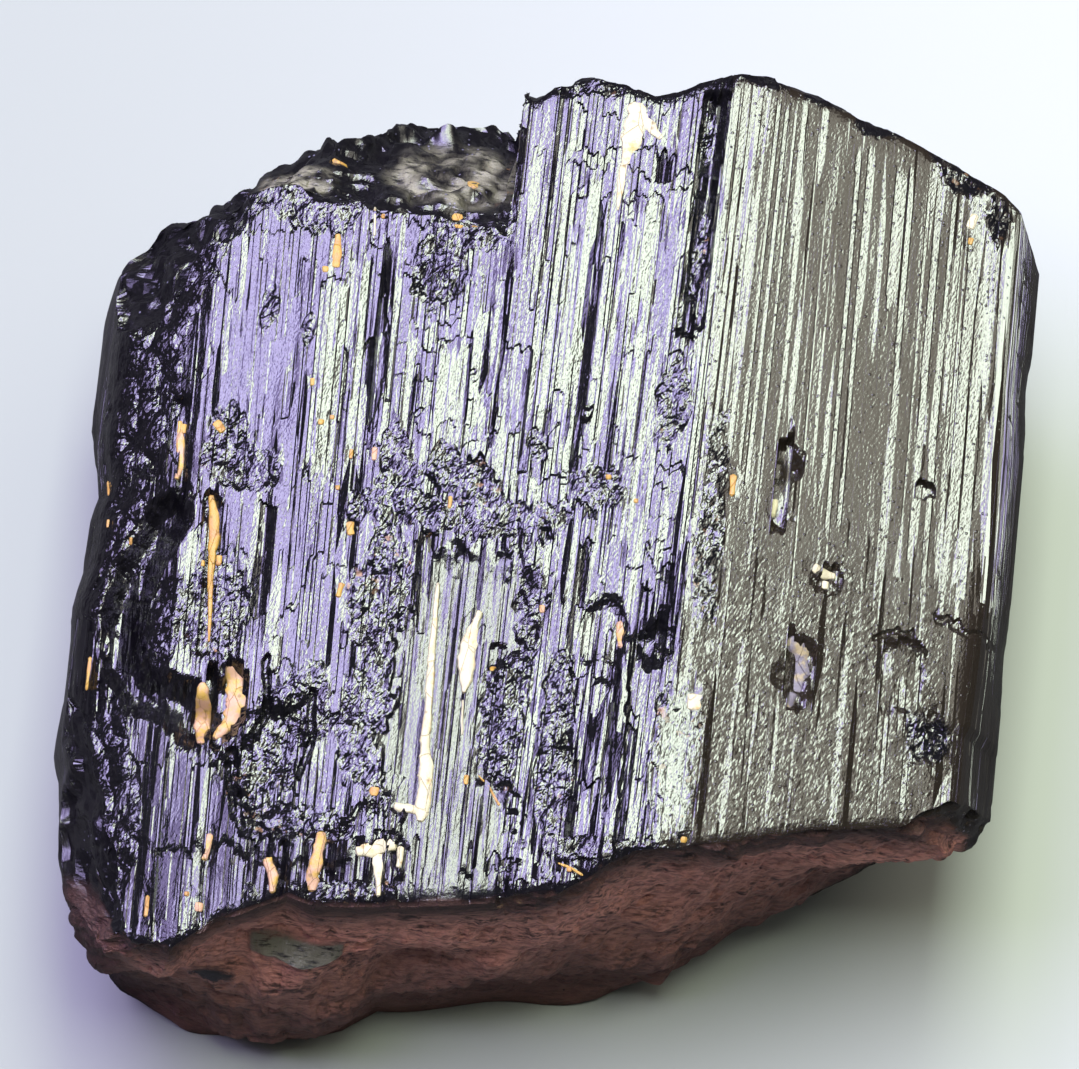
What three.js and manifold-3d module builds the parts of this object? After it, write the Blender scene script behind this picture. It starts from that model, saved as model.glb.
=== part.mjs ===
// A stout, broken crystal of black tourmaline (schorl) with feldspar grains in its face, lying on its back.
// Millimetres. +Z is out of the striated face, +Y runs up the crystal's long axis, +X is to the face's right.
// The origin is a point of the flat back that the crystal rests on.
import * as THREE from 'three';
import Module from 'manifold-3d';

const wasm = await Module();
wasm.setup();

// Driving dimensions: the cross-section, as x and z of its four sides
const CREST = [13.5, 48];
const FRONT_LEFT = [-39.5, 40];
const FRONT_RIGHT = [41.5, 44.4];
const BACK_LEFT = [-30, -0.8];
const BACK_RIGHT = [13, -0.8];
const FRONT_SIDE = [FRONT_LEFT, [-34, 42.3], CREST, FRONT_RIGHT];
const BACK_SIDE = [BACK_LEFT, BACK_RIGHT];
const LEFT_SIDE = [BACK_LEFT, [-38, 5], [-43, 16], [-44.4, 25], [-43.3, 34], FRONT_LEFT];
const RIGHT_SIDE = [BACK_RIGHT, [30, 11], [43, 26], [45.2, 35], FRONT_RIGHT];

// The broken ends, as x and y of the rim, and for the lower end of its foot near the back too
const LOWER_RIM = [
  [-44, -37], [-41.5, -42], [-38, -46], [-32, -46.5], [-27.8, -43.2], [-21.3, -40.3], [-18.5, -41],
  [-6, -40], [5.4, -38.3], [12, -33.7], [17, -32.9], [24.4, -30.7], [29, -29.5], [45, -26.8],
];
const LOWER_FOOT = [
  [-44, -36], [-39.3, -42.9], [-37.4, -44.4], [-32, -45.5], [-27.2, -47], [-22.5, -47.8], [-17.7, -46.7],
  [-14.9, -45.6], [-11.6, -42.9], [-1.3, -40.9], [4.6, -40], [9.9, -38.9], [15.7, -36.6], [22.7, -32],
  [35, -27], [45, -24],
];
const FOOT_ZONE = [14, 38];
const UPPER_RIM = [
  [-44.4, 20], [-43.6, 23.7], [-42, 25.8], [-39.4, 28.2], [-36.6, 29.8], [-33.6, 32.3], [-29.8, 36],
  [-25, 38.3], [-20.5, 40], [-17.5, 41.8], [-6.5, 42.2], [-5.4, 41.8], [-2.7, 42.5], [0.6, 43.1],
  [3.5, 42.7], [5.9, 41.9], [9.5, 43.2], [14, 44.8], [17.2, 45], [19.8, 43.9], [28, 41.3], [34.3, 38.6],
  [42.3, 35.2], [45.5, 30],
];
const UPPER_LEAN = 2;
const EDGE_SHARPNESS = 20;

// Shares of the half width, length and depth between which the front, back and side relief fades in
const FACE_ZONE = [0.5, 0.95];
const SIDE_ZONE = [0.6, 0.97];

// The striation: width, length, height and seed of each order of ridges on the prism faces
const RIDGE_ORDERS = [
  { width: 3.7, length: 26, height: 0.75, seed: 1 },
  { width: 1.9, length: 14, height: 0.4, seed: 2 },
];
const KNOT_SHIFT = 0.35;
const RIDGE_LEAN_LEFT = -0.035;
const RIDGE_LEAN_CREST = 0.02;
const RIGHT_FACET_RIDGES = 0.35;
const CREST_BLEND = 3;
const SMOOTH_PATCH = { x: -25, y: 8, rx: 7, ry: 16, ridges: 0.45 };

// Round pits in the face: place, half sizes and depth. The wall runs between two shares of the half size
const PIT_WALL = [0.62, 1.15];
const PIT_WOBBLE = 0.16;
const PITS = [
  { x: 6.1, y: -12.3, rx: 3.0, ry: 3.4, depth: 2.4 },
  { x: 10.8, y: -13.3, rx: 1.5, ry: 1.6, depth: 3.0 },
  { x: 21.8, y: 4.3, rx: 1.3, ry: 5.6, depth: 1.8 },
  { x: 24.7, y: -14.4, rx: 2.6, ry: 4.3, depth: 1.6 },
  { x: 26.9, y: -5.3, rx: 1.4, ry: 2.0, depth: 1.1 },
  { x: 37.8, y: -19.3, rx: 2.7, ry: 3.0, depth: 1.4 },
  { x: 32.9, y: -13.3, rx: 2.3, ry: 4.1, depth: 0.9 },
  { x: 35.1, y: 4.5, rx: 0.9, ry: 1.1, depth: 1.2 },
  { x: -28.5, y: -22.2, rx: 3.0, ry: 4.6, depth: 2.4 },
  { x: -14.0, y: 20.8, rx: 2.3, ry: 4.2, depth: 1.8 },
  { x: -26.5, y: -9.0, rx: 3.0, ry: 6.0, depth: 0.7 },
  { x: -21.0, y: -24.0, rx: 4.6, ry: 7.0, depth: 0.9 },
  { x: -13.4, y: -12.0, rx: 2.0, ry: 5.0, depth: 0.6 },
  { x: -0.4, y: -14.5, rx: 1.9, ry: 8.0, depth: 1 },
  { x: 0.8, y: -27.5, rx: 3.0, ry: 7.0, depth: 0.8 },
  { x: 13.6, y: -24.0, rx: 2.6, ry: 6.5, depth: 0.8 },
];

// The long recess down the middle of the face
const RECESS = { left: -11, right: -2.9, top: -5.8, depth: 2.3, wall: 0.7 };

// Grooves and ridges along drawn lines: points, half width and depth, where a ridge has a depth below zero
const GROOVE_WALL = [0.3, 1.3];
const GROOVES = [
  { line: [[-36.2, -3.7], [-39.6, -8.2], [-39.5, -13], [-38.7, -17.7], [-34.2, -22]], half: 1.6, depth: 2.6 },
  { line: [[-31.9, -2.3], [-31.3, -6.5], [-30.6, -16.5]], half: 0.8, depth: 1.1 },
  { line: [[-35.6, 6], [-34.7, -2]], half: 1.1, depth: 1.3 },
  { line: [[11.9, 40], [11.5, 28], [11.2, 18]], half: 1.1, depth: 1.4 },
  { line: [[8.4, -14], [8.8, -36]], half: 0.8, depth: -0.8 },
  { line: [[4.4, -18.6], [6.6, -18], [8, -20]], half: 0.7, depth: -0.7 },
  { line: [[-24, 2], [-22.5, 20]], half: 3.2, depth: -0.5 },
  { line: [[-4, -36], [-3.4, -22]], half: 0.9, depth: -0.7 },
];

// Terraces: everything below the drawn line, seen on the face, lies lower by the drop
const TERRACE_WALL = 0.6;
const EDGE_WOBBLE = 0.6;
const TERRACES = [
  {
    line: [[-46, -20], [-36, -22], [-30, -27.5], [-26, -33.5], [-17, -32.8], [-11, -36.5], [-10, -50]],
    drop: 1.7,
  },
  { line: [[-46, -36.4], [-18, -36.6], [-12, -38.5], [-10, -50]], drop: 0.9 },
];

// Flat breaks that take a corner off: outward normal, a point of the plane, and the roughness of the break
const BREAK_SPACING = 3.5;
const BREAK_END = 0.6;
const OUT_OF_REACH = 40;
const BREAKS = [
  { normal: [-0.7, 0.325, 0.636], through: [-36.3, 18.5, 41.6], rough: 0.9, left: -60, right: 60 },
  { normal: [0, 0.8, 0.6], through: [-15, 27.5, 43.6], rough: 0.8, left: -60, right: -6.2 },
  { normal: [-0.5, 0.74, 0.45], through: [-30, 27, 41.5], rough: 0.8, left: -60, right: -14 },
  { normal: [0.72, 0.6, 0.35], through: [43.4, 32.6, 41.6], rough: 0.3, left: 20, right: 60 },
  { normal: [-0.86, -0.2, 0.47], through: [-41.4, -25, 38], rough: 0.6, left: -60, right: 0 },
  { normal: [-0.6, -0.7, 0.39], through: [-40.4, -42.6, 36], rough: 0.6, left: -60, right: 0 },
  { normal: [0.6, -0.75, 0.28], through: [42.5, -25.4, 38], rough: 0.5, left: 20, right: 60 },
];

// Lumps of the broken ends and of the rounded left side
const END_LUMP = { height: 1.6, spacing: 8, calmRim: [30, 42] };
const SIDE_LUMP = { height: 0.9, spacing: 9 };
const BACK_HOLLOW = { depth: 2.4, spacing: 10, level: 0.25, layer: 9.3, flatMiddle: 8 };

// The net of flat facets that draws the surface
const COLUMNS = 48;
const ROWS = 48;
const BANDS = 9;
const BACK_STEP = 3;

// Feldspar grains in the face: outline, how far the top is sunk below the facet, and thickness
const GRAIN_GAP = 0.35;
const ABOVE_FACE = 6;
const GRAINS = [
  {
    name: 'feldspar_wedge_top', sunk: 0.2, thickness: 1.6, finish: 'cream',
    outline: [[3.1, 38.2], [6.3, 38.4], [7.4, 35.6], [5.6, 34.6], [4.3, 28.6], [3.4, 28.4], [3.2, 33]],
  },
  {
    name: 'feldspar_sliver_long', sunk: 1.9, thickness: 1.8, finish: 'cream',
    outline: [[-9.9, -9], [-9.2, -9.1], [-8.8, -20], [-8.9, -25.4], [-8, -26.6], [-8.2, -31.8],
      [-11.6, -31.4], [-11.5, -30.6], [-9.8, -30], [-9.6, -20]],
  },
  {
    name: 'feldspar_sliver_short', sunk: 1.8, thickness: 1.6, finish: 'cream',
    outline: [[-5.8, -11.6], [-4.9, -11.6], [-5.2, -15], [-5.7, -19.2], [-6.2, -19.2], [-7, -17.4],
      [-6.8, -14.2]],
  },
  {
    name: 'feldspar_seam_left', sunk: 0.5, thickness: 1.4, finish: 'orange',
    outline: [[-32.2, -2.4], [-31.6, -2.4], [-30.7, -5.6], [-30.9, -9.6], [-30.2, -16.4], [-30.9, -16.5],
      [-31.6, -9.8], [-32, -5.6]],
  },
  {
    name: 'feldspar_plate_left', sunk: 1.5, thickness: 1.6, finish: 'pink',
    outline: [[-30.2, -20.2], [-28.9, -20.4], [-28.7, -23.4], [-27.7, -22.6], [-27.3, -19], [-26.6, -19.2],
      [-26.4, -22.4], [-28.6, -25.8], [-29.9, -26], [-30.4, -23]],
  },
  {
    name: 'feldspar_sliver_upper_left', sunk: 0.3, thickness: 1.4, finish: 'orange',
    outline: [[-23.1, 24.2], [-22.4, 24.2], [-21.9, 21.4], [-22.4, 20.6], [-23.8, 20.8], [-23.3, 21.8]],
  },
  {
    name: 'feldspar_grain_right', sunk: 1.1, thickness: 1.5, finish: 'tan',
    outline: [[23.8, -11.2], [25.4, -11], [26.2, -13.6], [25.8, -16.8], [24.6, -17.8], [23.7, -14.2]],
  },
  {
    name: 'feldspar_row_left', sunk: 2.5, thickness: 1.4, finish: 'pink',
    outline: [[-22.8, -36.9], [-21.8, -36.9], [-21.4, -38.4], [-22, -39.7], [-22.5, -38.6]],
  },
  {
    name: 'feldspar_row_middle', sunk: 2.4, thickness: 1.4, finish: 'pink',
    outline: [[-18.4, -34], [-17.2, -34], [-17.1, -36.4], [-17.6, -39.2], [-18.8, -38.8], [-19, -36.8],
      [-18, -36.2]],
  },
  {
    name: 'feldspar_row_right', sunk: 2.3, thickness: 1.4, finish: 'cream',
    outline: [[-14.4, -34.6], [-11, -34.2], [-11, -35.2], [-12, -35.8], [-11.6, -38.4], [-12.4, -39.4],
      [-12.9, -36.2], [-14.2, -35.8]],
  },
];

/** Linear step from a to b. */
function mix(a, b, t) {
  return a + (b - a) * t;
}

/** A smooth step from 0 at lo to 1 at hi. */
function smooth(lo, hi, value) {
  const t = Math.min(1, Math.max(0, (value - lo) / (hi - lo)));
  return t * t * (3 - 2 * t);
}

/** A fixed scatter of values between -1 and 1, one for each whole-number place. */
function scatter(i, j, k) {
  const wave = Math.sin(i * 127.1 + j * 311.7 + k * 74.7) * 43758.5453;
  return 2 * (wave - Math.floor(wave)) - 1;
}

/** Smooth lumps between -1 and 1: the scattered values of the eight places around, blended. */
function lumps(x, y, z) {
  const [i, j, k] = [Math.floor(x), Math.floor(y), Math.floor(z)];
  const [u, v, w] = [smooth(0, 1, x - i), smooth(0, 1, y - j), smooth(0, 1, z - k)];
  const line = (dj, dk) => mix(scatter(i, j + dj, k + dk), scatter(i + 1, j + dj, k + dk), u);
  const sheet = (dk) => mix(line(0, dk), line(1, dk), v);
  return mix(sheet(0), sheet(1), w);
}

/** Long flat-sided ridges: heights at uneven knots across, joined by straight facets that change along y. */
function ridges(across, y, { width, length, seed }) {
  const knot = (n) => (n + 0.5 + KNOT_SHIFT * scatter(n, 0, seed)) * width;
  const height = (n) => lumps(n * 7.31, y / length, seed * 11.7);
  const cell = Math.floor(across / width);
  const first = across < knot(cell) ? cell - 1 : cell;
  const share = (across - knot(first)) / (knot(first + 1) - knot(first));
  return mix(height(first), height(first + 1), share);
}

/** The ordinate of a drawn line of [x, y] points at a given x. */
function lineAt(points, x) {
  const found = points.findIndex((point) => point[0] >= x);
  const next = found === -1 ? points.length - 1 : Math.max(1, found);
  const [x0, y0] = points[next - 1];
  const [x1, y1] = points[next];
  return mix(y0, y1, Math.min(1, Math.max(0, (x - x0) / (x1 - x0))));
}

/** A point at share t of the length of a drawn line. */
function along(points, t) {
  const lengths = points.slice(1).map(([x, y], n) => Math.hypot(x - points[n][0], y - points[n][1]));
  let rest = t * lengths.reduce((sum, length) => sum + length, 0);
  for (let n = 0; n < lengths.length; n += 1) {
    if (rest <= lengths[n] || n === lengths.length - 1) {
      const share = Math.min(1, rest / lengths[n]);
      return [mix(points[n][0], points[n + 1][0], share), mix(points[n][1], points[n + 1][1], share)];
    }
    rest -= lengths[n];
  }
  return points[points.length - 1];
}

/** Distance from a place on the face to a drawn line. */
function distanceTo(line, x, y) {
  let nearest = Infinity;
  for (let n = 0; n + 1 < line.length; n += 1) {
    const [x0, y0] = line[n];
    const [dx, dy] = [line[n + 1][0] - x0, line[n + 1][1] - y0];
    const t = Math.min(1, Math.max(0, ((x - x0) * dx + (y - y0) * dy) / (dx * dx + dy * dy)));
    nearest = Math.min(nearest, Math.hypot(x - x0 - t * dx, y - y0 - t * dy));
  }
  return nearest;
}

/** The cross-section blended from its sides: across is 0 at the left to 1, and deep 0 at the back to 1. */
function section(across, deep) {
  const [back, front] = [along(BACK_SIDE, across), along(FRONT_SIDE, across)];
  const [left, right] = [along(LEFT_SIDE, deep), along(RIGHT_SIDE, deep)];
  return [0, 1].map((axis) => {
    const corners = mix(
      mix(BACK_LEFT[axis], BACK_RIGHT[axis], across),
      mix(FRONT_LEFT[axis], FRONT_RIGHT[axis], across),
      deep,
    );
    return mix(back[axis], front[axis], deep) + mix(left[axis], right[axis], across) - corners;
  });
}

/** Height of the plain front facets at x, before any ridge or pit. */
function facet(x) {
  return lineAt(FRONT_SIDE, x);
}

/** Where x falls across the slightly leaning striation. */
function acrossRidges(x, y) {
  return x - y * mix(RIDGE_LEAN_LEFT, RIDGE_LEAN_CREST, smooth(FRONT_LEFT[0], CREST[0], x));
}

/** How strongly each part of the face is ridged: weak on the right facet and on the smooth upper left. */
function ridgeStrength(x, y) {
  const rightFacet = mix(1, RIGHT_FACET_RIDGES, smooth(CREST[0], CREST[0] + CREST_BLEND, x));
  const { x: middleX, y: middleY, rx, ry, ridges: calm } = SMOOTH_PATCH;
  const near = Math.exp(-(((x - middleX) / rx) ** 2) - ((y - middleY) / ry) ** 2);
  return rightFacet * mix(1, calm, near);
}

/** All relief of the front face at a place, as a height to add. */
function faceRelief(x, y) {
  const across = acrossRidges(x, y);
  let relief = 0;
  for (const order of RIDGE_ORDERS) relief += order.height * ridges(across, y, order) * ridgeStrength(x, y);
  for (const pit of PITS) {
    const edge = 1 + PIT_WOBBLE * lumps(x * 0.6, y * 0.6, pit.x);
    const reach = Math.hypot((x - pit.x) / pit.rx, (y - pit.y) / pit.ry);
    relief -= pit.depth * (1 - smooth(PIT_WALL[0] * edge, PIT_WALL[1] * edge, reach));
  }
  for (const { line, half, depth } of GROOVES) {
    relief -= depth * (1 - smooth(GROOVE_WALL[0] * half, GROOVE_WALL[1] * half, distanceTo(line, x, y)));
  }
  const top = RECESS.top + EDGE_WOBBLE * lumps(x * 0.8, 3.1, 0.4);
  const inside = smooth(RECESS.left - RECESS.wall, RECESS.left + RECESS.wall, x)
    * (1 - smooth(RECESS.right - RECESS.wall, RECESS.right + RECESS.wall, x))
    * (1 - smooth(top - RECESS.wall, top + RECESS.wall, y));
  relief -= RECESS.depth * inside;
  for (const { line, drop } of TERRACES) {
    const edge = lineAt(line, x) + EDGE_WOBBLE * lumps(x * 0.5, 7.7, 1.2);
    relief -= drop * (1 - smooth(edge - TERRACE_WALL, edge + TERRACE_WALL, y));
  }
  return relief;
}

/** Shallow hollows of the back, which stays flat round its middle. */
function backHollow(x, y) {
  const { depth, spacing, level, layer, flatMiddle } = BACK_HOLLOW;
  const noise = lumps(x / spacing, y / spacing, layer);
  return depth * Math.max(0, noise - level) * smooth(flatMiddle, 2 * flatMiddle, Math.hypot(x, y));
}

/** A rounded block from -1 to 1 each way: a cube's surface point, drawn in where the cube has an edge. */
function rounded(a, b, c) {
  const sum = Math.abs(a) ** EDGE_SHARPNESS + Math.abs(b) ** EDGE_SHARPNESS + Math.abs(c) ** EDGE_SHARPNESS;
  const shrink = sum ** (-1 / EDGE_SHARPNESS);
  return [a * shrink, b * shrink, c * shrink];
}

/** Moves a point that stands outside a flat break onto it. */
function breakOff(point, { normal, through, rough, left, right }) {
  const pastRight = smooth(right - BREAK_END, right + BREAK_END, point[0]);
  const pastLeft = 1 - smooth(left - BREAK_END, left + BREAK_END, point[0]);
  const outside = OUT_OF_REACH * (pastRight + pastLeft);
  const bumps = rough * lumps(...point.map((value) => value / BREAK_SPACING));
  const reach = normal.reduce((sum, n, axis) => sum + n * (point[axis] - through[axis]), 0) - bumps - outside;
  return reach > 0 ? point.map((value, axis) => value - reach * normal[axis]) : point;
}

/** The crystal's surface: a cube's surface point carried to the cross-section and ends, then worked over. */
function surface(a, b, c) {
  const [ra, rb, rc] = rounded(a, b, c);
  let [x, z] = section((ra + 1) / 2, (rc + 1) / 2);
  const lumpHeight = END_LUMP.height * (1 - smooth(...END_LUMP.calmRim, z));
  const endLump = (row) => lumpHeight * lumps(x / END_LUMP.spacing, row, z / END_LUMP.spacing);
  const lower = mix(lineAt(LOWER_FOOT, x), lineAt(LOWER_RIM, x), smooth(...FOOT_ZONE, z)) + endLump(3);
  const upper = lineAt(UPPER_RIM, x) + endLump(5) - UPPER_LEAN * (1 - smooth(0, CREST[1], z));
  const y = mix(lower, upper, (rb + 1) / 2);
  const front = smooth(...FACE_ZONE, rc);
  const back = smooth(...FACE_ZONE, -rc);
  const side = smooth(...SIDE_ZONE, Math.abs(ra)) * Math.sign(ra) * (1 - front);
  const swell = SIDE_LUMP.height * lumps(z / SIDE_LUMP.spacing, y / SIDE_LUMP.spacing, ra);
  const sideRidge = RIDGE_ORDERS[0].height * ridges(z + 100, y, RIDGE_ORDERS[0]);
  const hollow = backHollow(x, y);
  x += side * (swell + sideRidge);
  z += front * faceRelief(x, y) + back * hollow;
  let point = [x, y, z];
  for (const flat of BREAKS) point = breakOff(point, flat);
  point[2] = Math.max(0, point[2]);
  return point;
}

/** Cube places once round the rim of the face at depth c, starting at the lower left. */
function rimPlaces(c, step) {
  const places = [];
  const share = (n, count) => 2 * (n / count) - 1;
  for (let i = 0; i < COLUMNS; i += step) places.push([share(i, COLUMNS), -1, c]);
  for (let j = 0; j < ROWS; j += step) places.push([1, share(j, ROWS), c]);
  for (let i = COLUMNS; i > 0; i -= step) places.push([share(i, COLUMNS), 1, c]);
  for (let j = ROWS; j > 0; j -= step) places.push([-1, share(j, ROWS), c]);
  return places;
}

/** A net of quads over the front (c is 1) or back (c is -1), written into the vertex and triangle lists. */
function addFace(vertices, triangles, c, step, flip) {
  const start = vertices.length;
  const wide = COLUMNS / step + 1;
  for (let j = 0; j <= ROWS; j += step) {
    for (let i = 0; i <= COLUMNS; i += step) {
      vertices.push(surface(2 * (i / COLUMNS) - 1, 2 * (j / ROWS) - 1, c));
    }
  }
  for (let j = 0; j < ROWS / step; j += 1) {
    for (let i = 0; i < COLUMNS / step; i += 1) {
      const corner = start + j * wide + i;
      const quad = [corner, corner + 1, corner + wide + 1, corner + wide];
      if (flip) quad.reverse();
      triangles.push([quad[0], quad[1], quad[2]], [quad[0], quad[2], quad[3]]);
    }
  }
}

/** Bands of quads from the face's rim back to the rear rim; the last band meets the coarser rear net. */
function addSides(vertices, triangles) {
  const rings = [];
  for (let band = 0; band < BANDS; band += 1) {
    const places = rimPlaces(1 - (2 * band) / BANDS, 1);
    rings.push(places.map((place) => vertices.push(surface(...place)) - 1));
  }
  const rear = rimPlaces(-1, BACK_STEP).map((place) => vertices.push(surface(...place)) - 1);
  for (let band = 0; band + 1 < BANDS; band += 1) {
    const [near, far] = [rings[band], rings[band + 1]];
    near.forEach((corner, n) => {
      const m = (n + 1) % near.length;
      triangles.push([corner, far[n], far[m]], [corner, far[m], near[m]]);
    });
  }
  const near = rings[BANDS - 1];
  rear.forEach((corner, n) => {
    const following = rear[(n + 1) % rear.length];
    const first = n * BACK_STEP;
    const middle = Math.floor(BACK_STEP / 2);
    for (let k = 0; k < BACK_STEP; k += 1) {
      const meeting = k < middle ? corner : following;
      triangles.push([near[first + k], meeting, near[(first + k + 1) % near.length]]);
    }
    triangles.push([near[first + middle], corner, following]);
  });
}

/** Merges vertices that share a place and drops the triangles that this makes empty. */
function weld(vertices, triangles) {
  const known = new Map();
  const kept = [];
  const index = vertices.map((vertex) => {
    const key = vertex.map((value) => value.toFixed(4)).join(' ');
    if (!known.has(key)) {
      known.set(key, kept.length);
      kept.push(vertex);
    }
    return known.get(key);
  });
  const whole = triangles
    .map((triangle) => triangle.map((corner) => index[corner]))
    .filter(([p, q, r]) => p !== q && q !== r && r !== p);
  return { vertices: kept, triangles: whole };
}

/** A manifold solid from vertex and triangle lists. */
function toSolid({ vertices, triangles }) {
  const mesh = new wasm.Mesh({
    numProp: 3,
    vertProperties: new Float32Array(vertices.flat()),
    triVerts: new Uint32Array(triangles.flat()),
  });
  return new wasm.Manifold(mesh);
}

/** A three.js geometry from a manifold solid. */
function toGeometry(solid) {
  const { vertProperties, triVerts } = solid.getMesh();
  const geometry = new THREE.BufferGeometry();
  geometry.setAttribute('position', new THREE.BufferAttribute(vertProperties, 3));
  geometry.setIndex(new THREE.BufferAttribute(triVerts, 1));
  geometry.computeVertexNormals();
  return geometry;
}

/** The vertex and triangle lists of a geometry, welded. */
function fromGeometry(geometry) {
  const position = geometry.getAttribute('position');
  const vertices = [];
  for (let n = 0; n < position.count; n += 1) {
    vertices.push([position.getX(n), position.getY(n), position.getZ(n)]);
  }
  const order = geometry.index ? Array.from(geometry.index.array) : vertices.map((_, n) => n);
  const triangles = [];
  for (let n = 0; n < order.length; n += 3) triangles.push([order[n], order[n + 1], order[n + 2]]);
  return weld(vertices, triangles);
}

/** A slab of a grain's outline that follows the facet, from its underside up by height, with a margin. */
function grainSlab({ outline, sunk, thickness }, height, margin) {
  const corners = outline.map(([x, y]) => new THREE.Vector2(x, y));
  const slab = new THREE.ExtrudeGeometry(new THREE.Shape(corners), {
    depth: height,
    bevelEnabled: margin > 0,
    bevelSize: margin,
    bevelThickness: margin,
    bevelSegments: 1,
  });
  const position = slab.getAttribute('position');
  for (let n = 0; n < position.count; n += 1) {
    const floor = facet(position.getX(n)) - sunk - thickness;
    position.setZ(n, position.getZ(n) + floor);
  }
  return fromGeometry(slab);
}

/** The finish of the black crystal. */
function schorlFinish() {
  return new THREE.MeshStandardMaterial({ color: 0x121113, roughness: 0.22, metalness: 0 });
}

/** The finish of one feldspar grain. */
function feldsparFinish(finish) {
  const colours = { cream: 0xf4eed8, orange: 0xdcae6c, pink: 0xdba692, tan: 0xb29a78 };
  return new THREE.MeshStandardMaterial({ color: colours[finish], roughness: 0.55, metalness: 0 });
}

/** The whole crystal, with a pocket cut for each feldspar grain. */
function crystal() {
  const [vertices, triangles] = [[], []];
  addFace(vertices, triangles, 1, 1, false);
  addSides(vertices, triangles);
  addFace(vertices, triangles, -1, BACK_STEP, true);
  let body = toSolid(weld(vertices, triangles));
  for (const grain of GRAINS) {
    body = body.subtract(toSolid(grainSlab(grain, grain.thickness + ABOVE_FACE, GRAIN_GAP)));
  }
  const mesh = new THREE.Mesh(toGeometry(body), schorlFinish());
  mesh.name = 'schorl_crystal';
  return mesh;
}

/** One feldspar grain in its pocket. */
function feldsparGrain(grain) {
  const solid = toSolid(grainSlab(grain, grain.thickness, 0));
  const mesh = new THREE.Mesh(toGeometry(solid), feldsparFinish(grain.finish));
  mesh.name = grain.name;
  return mesh;
}

const specimen = new THREE.Group();
specimen.add(crystal());
for (const grain of GRAINS) specimen.add(feldsparGrain(grain));

export default specimen;
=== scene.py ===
"""A stout, broken crystal of black tourmaline with feldspar in its grooves, on its back on a pale floor.

The shape classes work in millimetres in the crystal's own frame: +Z out of the striated face, +Y up the long
axis and +X to the face's right. Meshes are written in metres.
"""
import logging
import math
from dataclasses import dataclass
from enum import Enum
from functools import reduce

import bpy
import numpy as np
from mathutils import Matrix, Vector


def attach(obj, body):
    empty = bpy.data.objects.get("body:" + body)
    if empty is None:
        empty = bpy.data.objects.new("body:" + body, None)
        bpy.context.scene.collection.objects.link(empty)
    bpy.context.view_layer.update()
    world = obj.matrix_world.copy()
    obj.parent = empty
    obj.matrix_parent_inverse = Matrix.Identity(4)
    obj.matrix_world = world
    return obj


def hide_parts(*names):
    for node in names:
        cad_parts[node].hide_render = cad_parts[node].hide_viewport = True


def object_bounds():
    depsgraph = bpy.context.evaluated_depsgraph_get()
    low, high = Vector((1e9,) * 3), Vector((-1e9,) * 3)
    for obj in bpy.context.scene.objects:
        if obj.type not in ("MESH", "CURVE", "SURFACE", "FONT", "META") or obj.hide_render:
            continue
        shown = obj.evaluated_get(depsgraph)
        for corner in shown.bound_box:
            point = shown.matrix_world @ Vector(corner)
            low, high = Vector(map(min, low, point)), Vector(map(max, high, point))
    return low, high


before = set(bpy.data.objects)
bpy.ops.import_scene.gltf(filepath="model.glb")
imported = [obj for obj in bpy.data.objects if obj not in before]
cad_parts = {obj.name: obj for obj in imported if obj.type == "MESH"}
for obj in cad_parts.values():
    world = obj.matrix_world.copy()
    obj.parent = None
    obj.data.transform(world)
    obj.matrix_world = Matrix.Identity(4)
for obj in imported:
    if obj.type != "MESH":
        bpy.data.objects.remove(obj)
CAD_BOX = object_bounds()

LOG = logging.getLogger("crystal")
MM = 0.001
Line = tuple[tuple[float, float], ...]
Field = np.ndarray | float
Colour = tuple[float, float, float, float]
Masks = dict[str, np.ndarray]
Places = tuple[np.ndarray, np.ndarray, np.ndarray]

# How far an uneven strip's edge moves, in widths, and how far a flake moves, lifts and domes, in sizes
EDGE_SPREAD = 0.35
FLAKE_SPREAD = 0.42
FLAKE_LIFT = 0.25
FLAKE_DOME = 0.9


# Fields: small functions of whole arrays that every shape is made from

def mix(a: Field, b: Field, t: Field) -> Field:
    """Linear step from a to b at share t."""
    return a + (b - a) * t


def smooth(lo: float, hi: float, value: Field) -> Field:
    """A smooth step from 0 at lo to 1 at hi: 3t^2 - 2t^3 of the clipped share t."""
    t = np.clip((value - lo) / (hi - lo), 0.0, 1.0)
    return t * t * (3.0 - 2.0 * t)


def scatter(i: Field, j: Field, k: Field) -> Field:
    """A fixed scatter of values between -1 and 1, one for each place: the fraction of a large sine."""
    wave = np.sin(i * 127.1 + j * 311.7 + k * 74.7) * 43758.5453
    return 2.0 * (wave - np.floor(wave)) - 1.0


def lumps(x: Field, y: Field, z: Field) -> Field:
    """Smooth lumps between -1 and 1: the scattered values of the eight whole places around, blended.

    Args:
        x, y, z: Places in units of one lump, as arrays or numbers.

    Returns:
        The height of the lumps at each place.
    """
    i, j, k = np.floor(x), np.floor(y), np.floor(z)
    u, v, w = smooth(0, 1, x - i), smooth(0, 1, y - j), smooth(0, 1, z - k)

    def line(dj: int, dk: int) -> Field:
        """The two values along one line, blended."""
        return mix(scatter(i, j + dj, k + dk), scatter(i + 1, j + dj, k + dk), u)

    def sheet(dk: int) -> Field:
        """The two lines of one sheet, blended."""
        return mix(line(0, dk), line(1, dk), v)

    return mix(sheet(0), sheet(1), w)


def creases(x: Field, y: Field, z: Field) -> Field:
    """Lumps folded at zero, so that they meet in sharp valleys: 2|lumps| - 0.6."""
    return 2.0 * np.abs(lumps(x, y, z)) - 0.6


def line_at(points: Line, x: Field) -> Field:
    """The ordinate of a drawn line at x, held level past its ends."""
    xs, ys = zip(*points)
    return np.interp(x, xs, ys)


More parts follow.
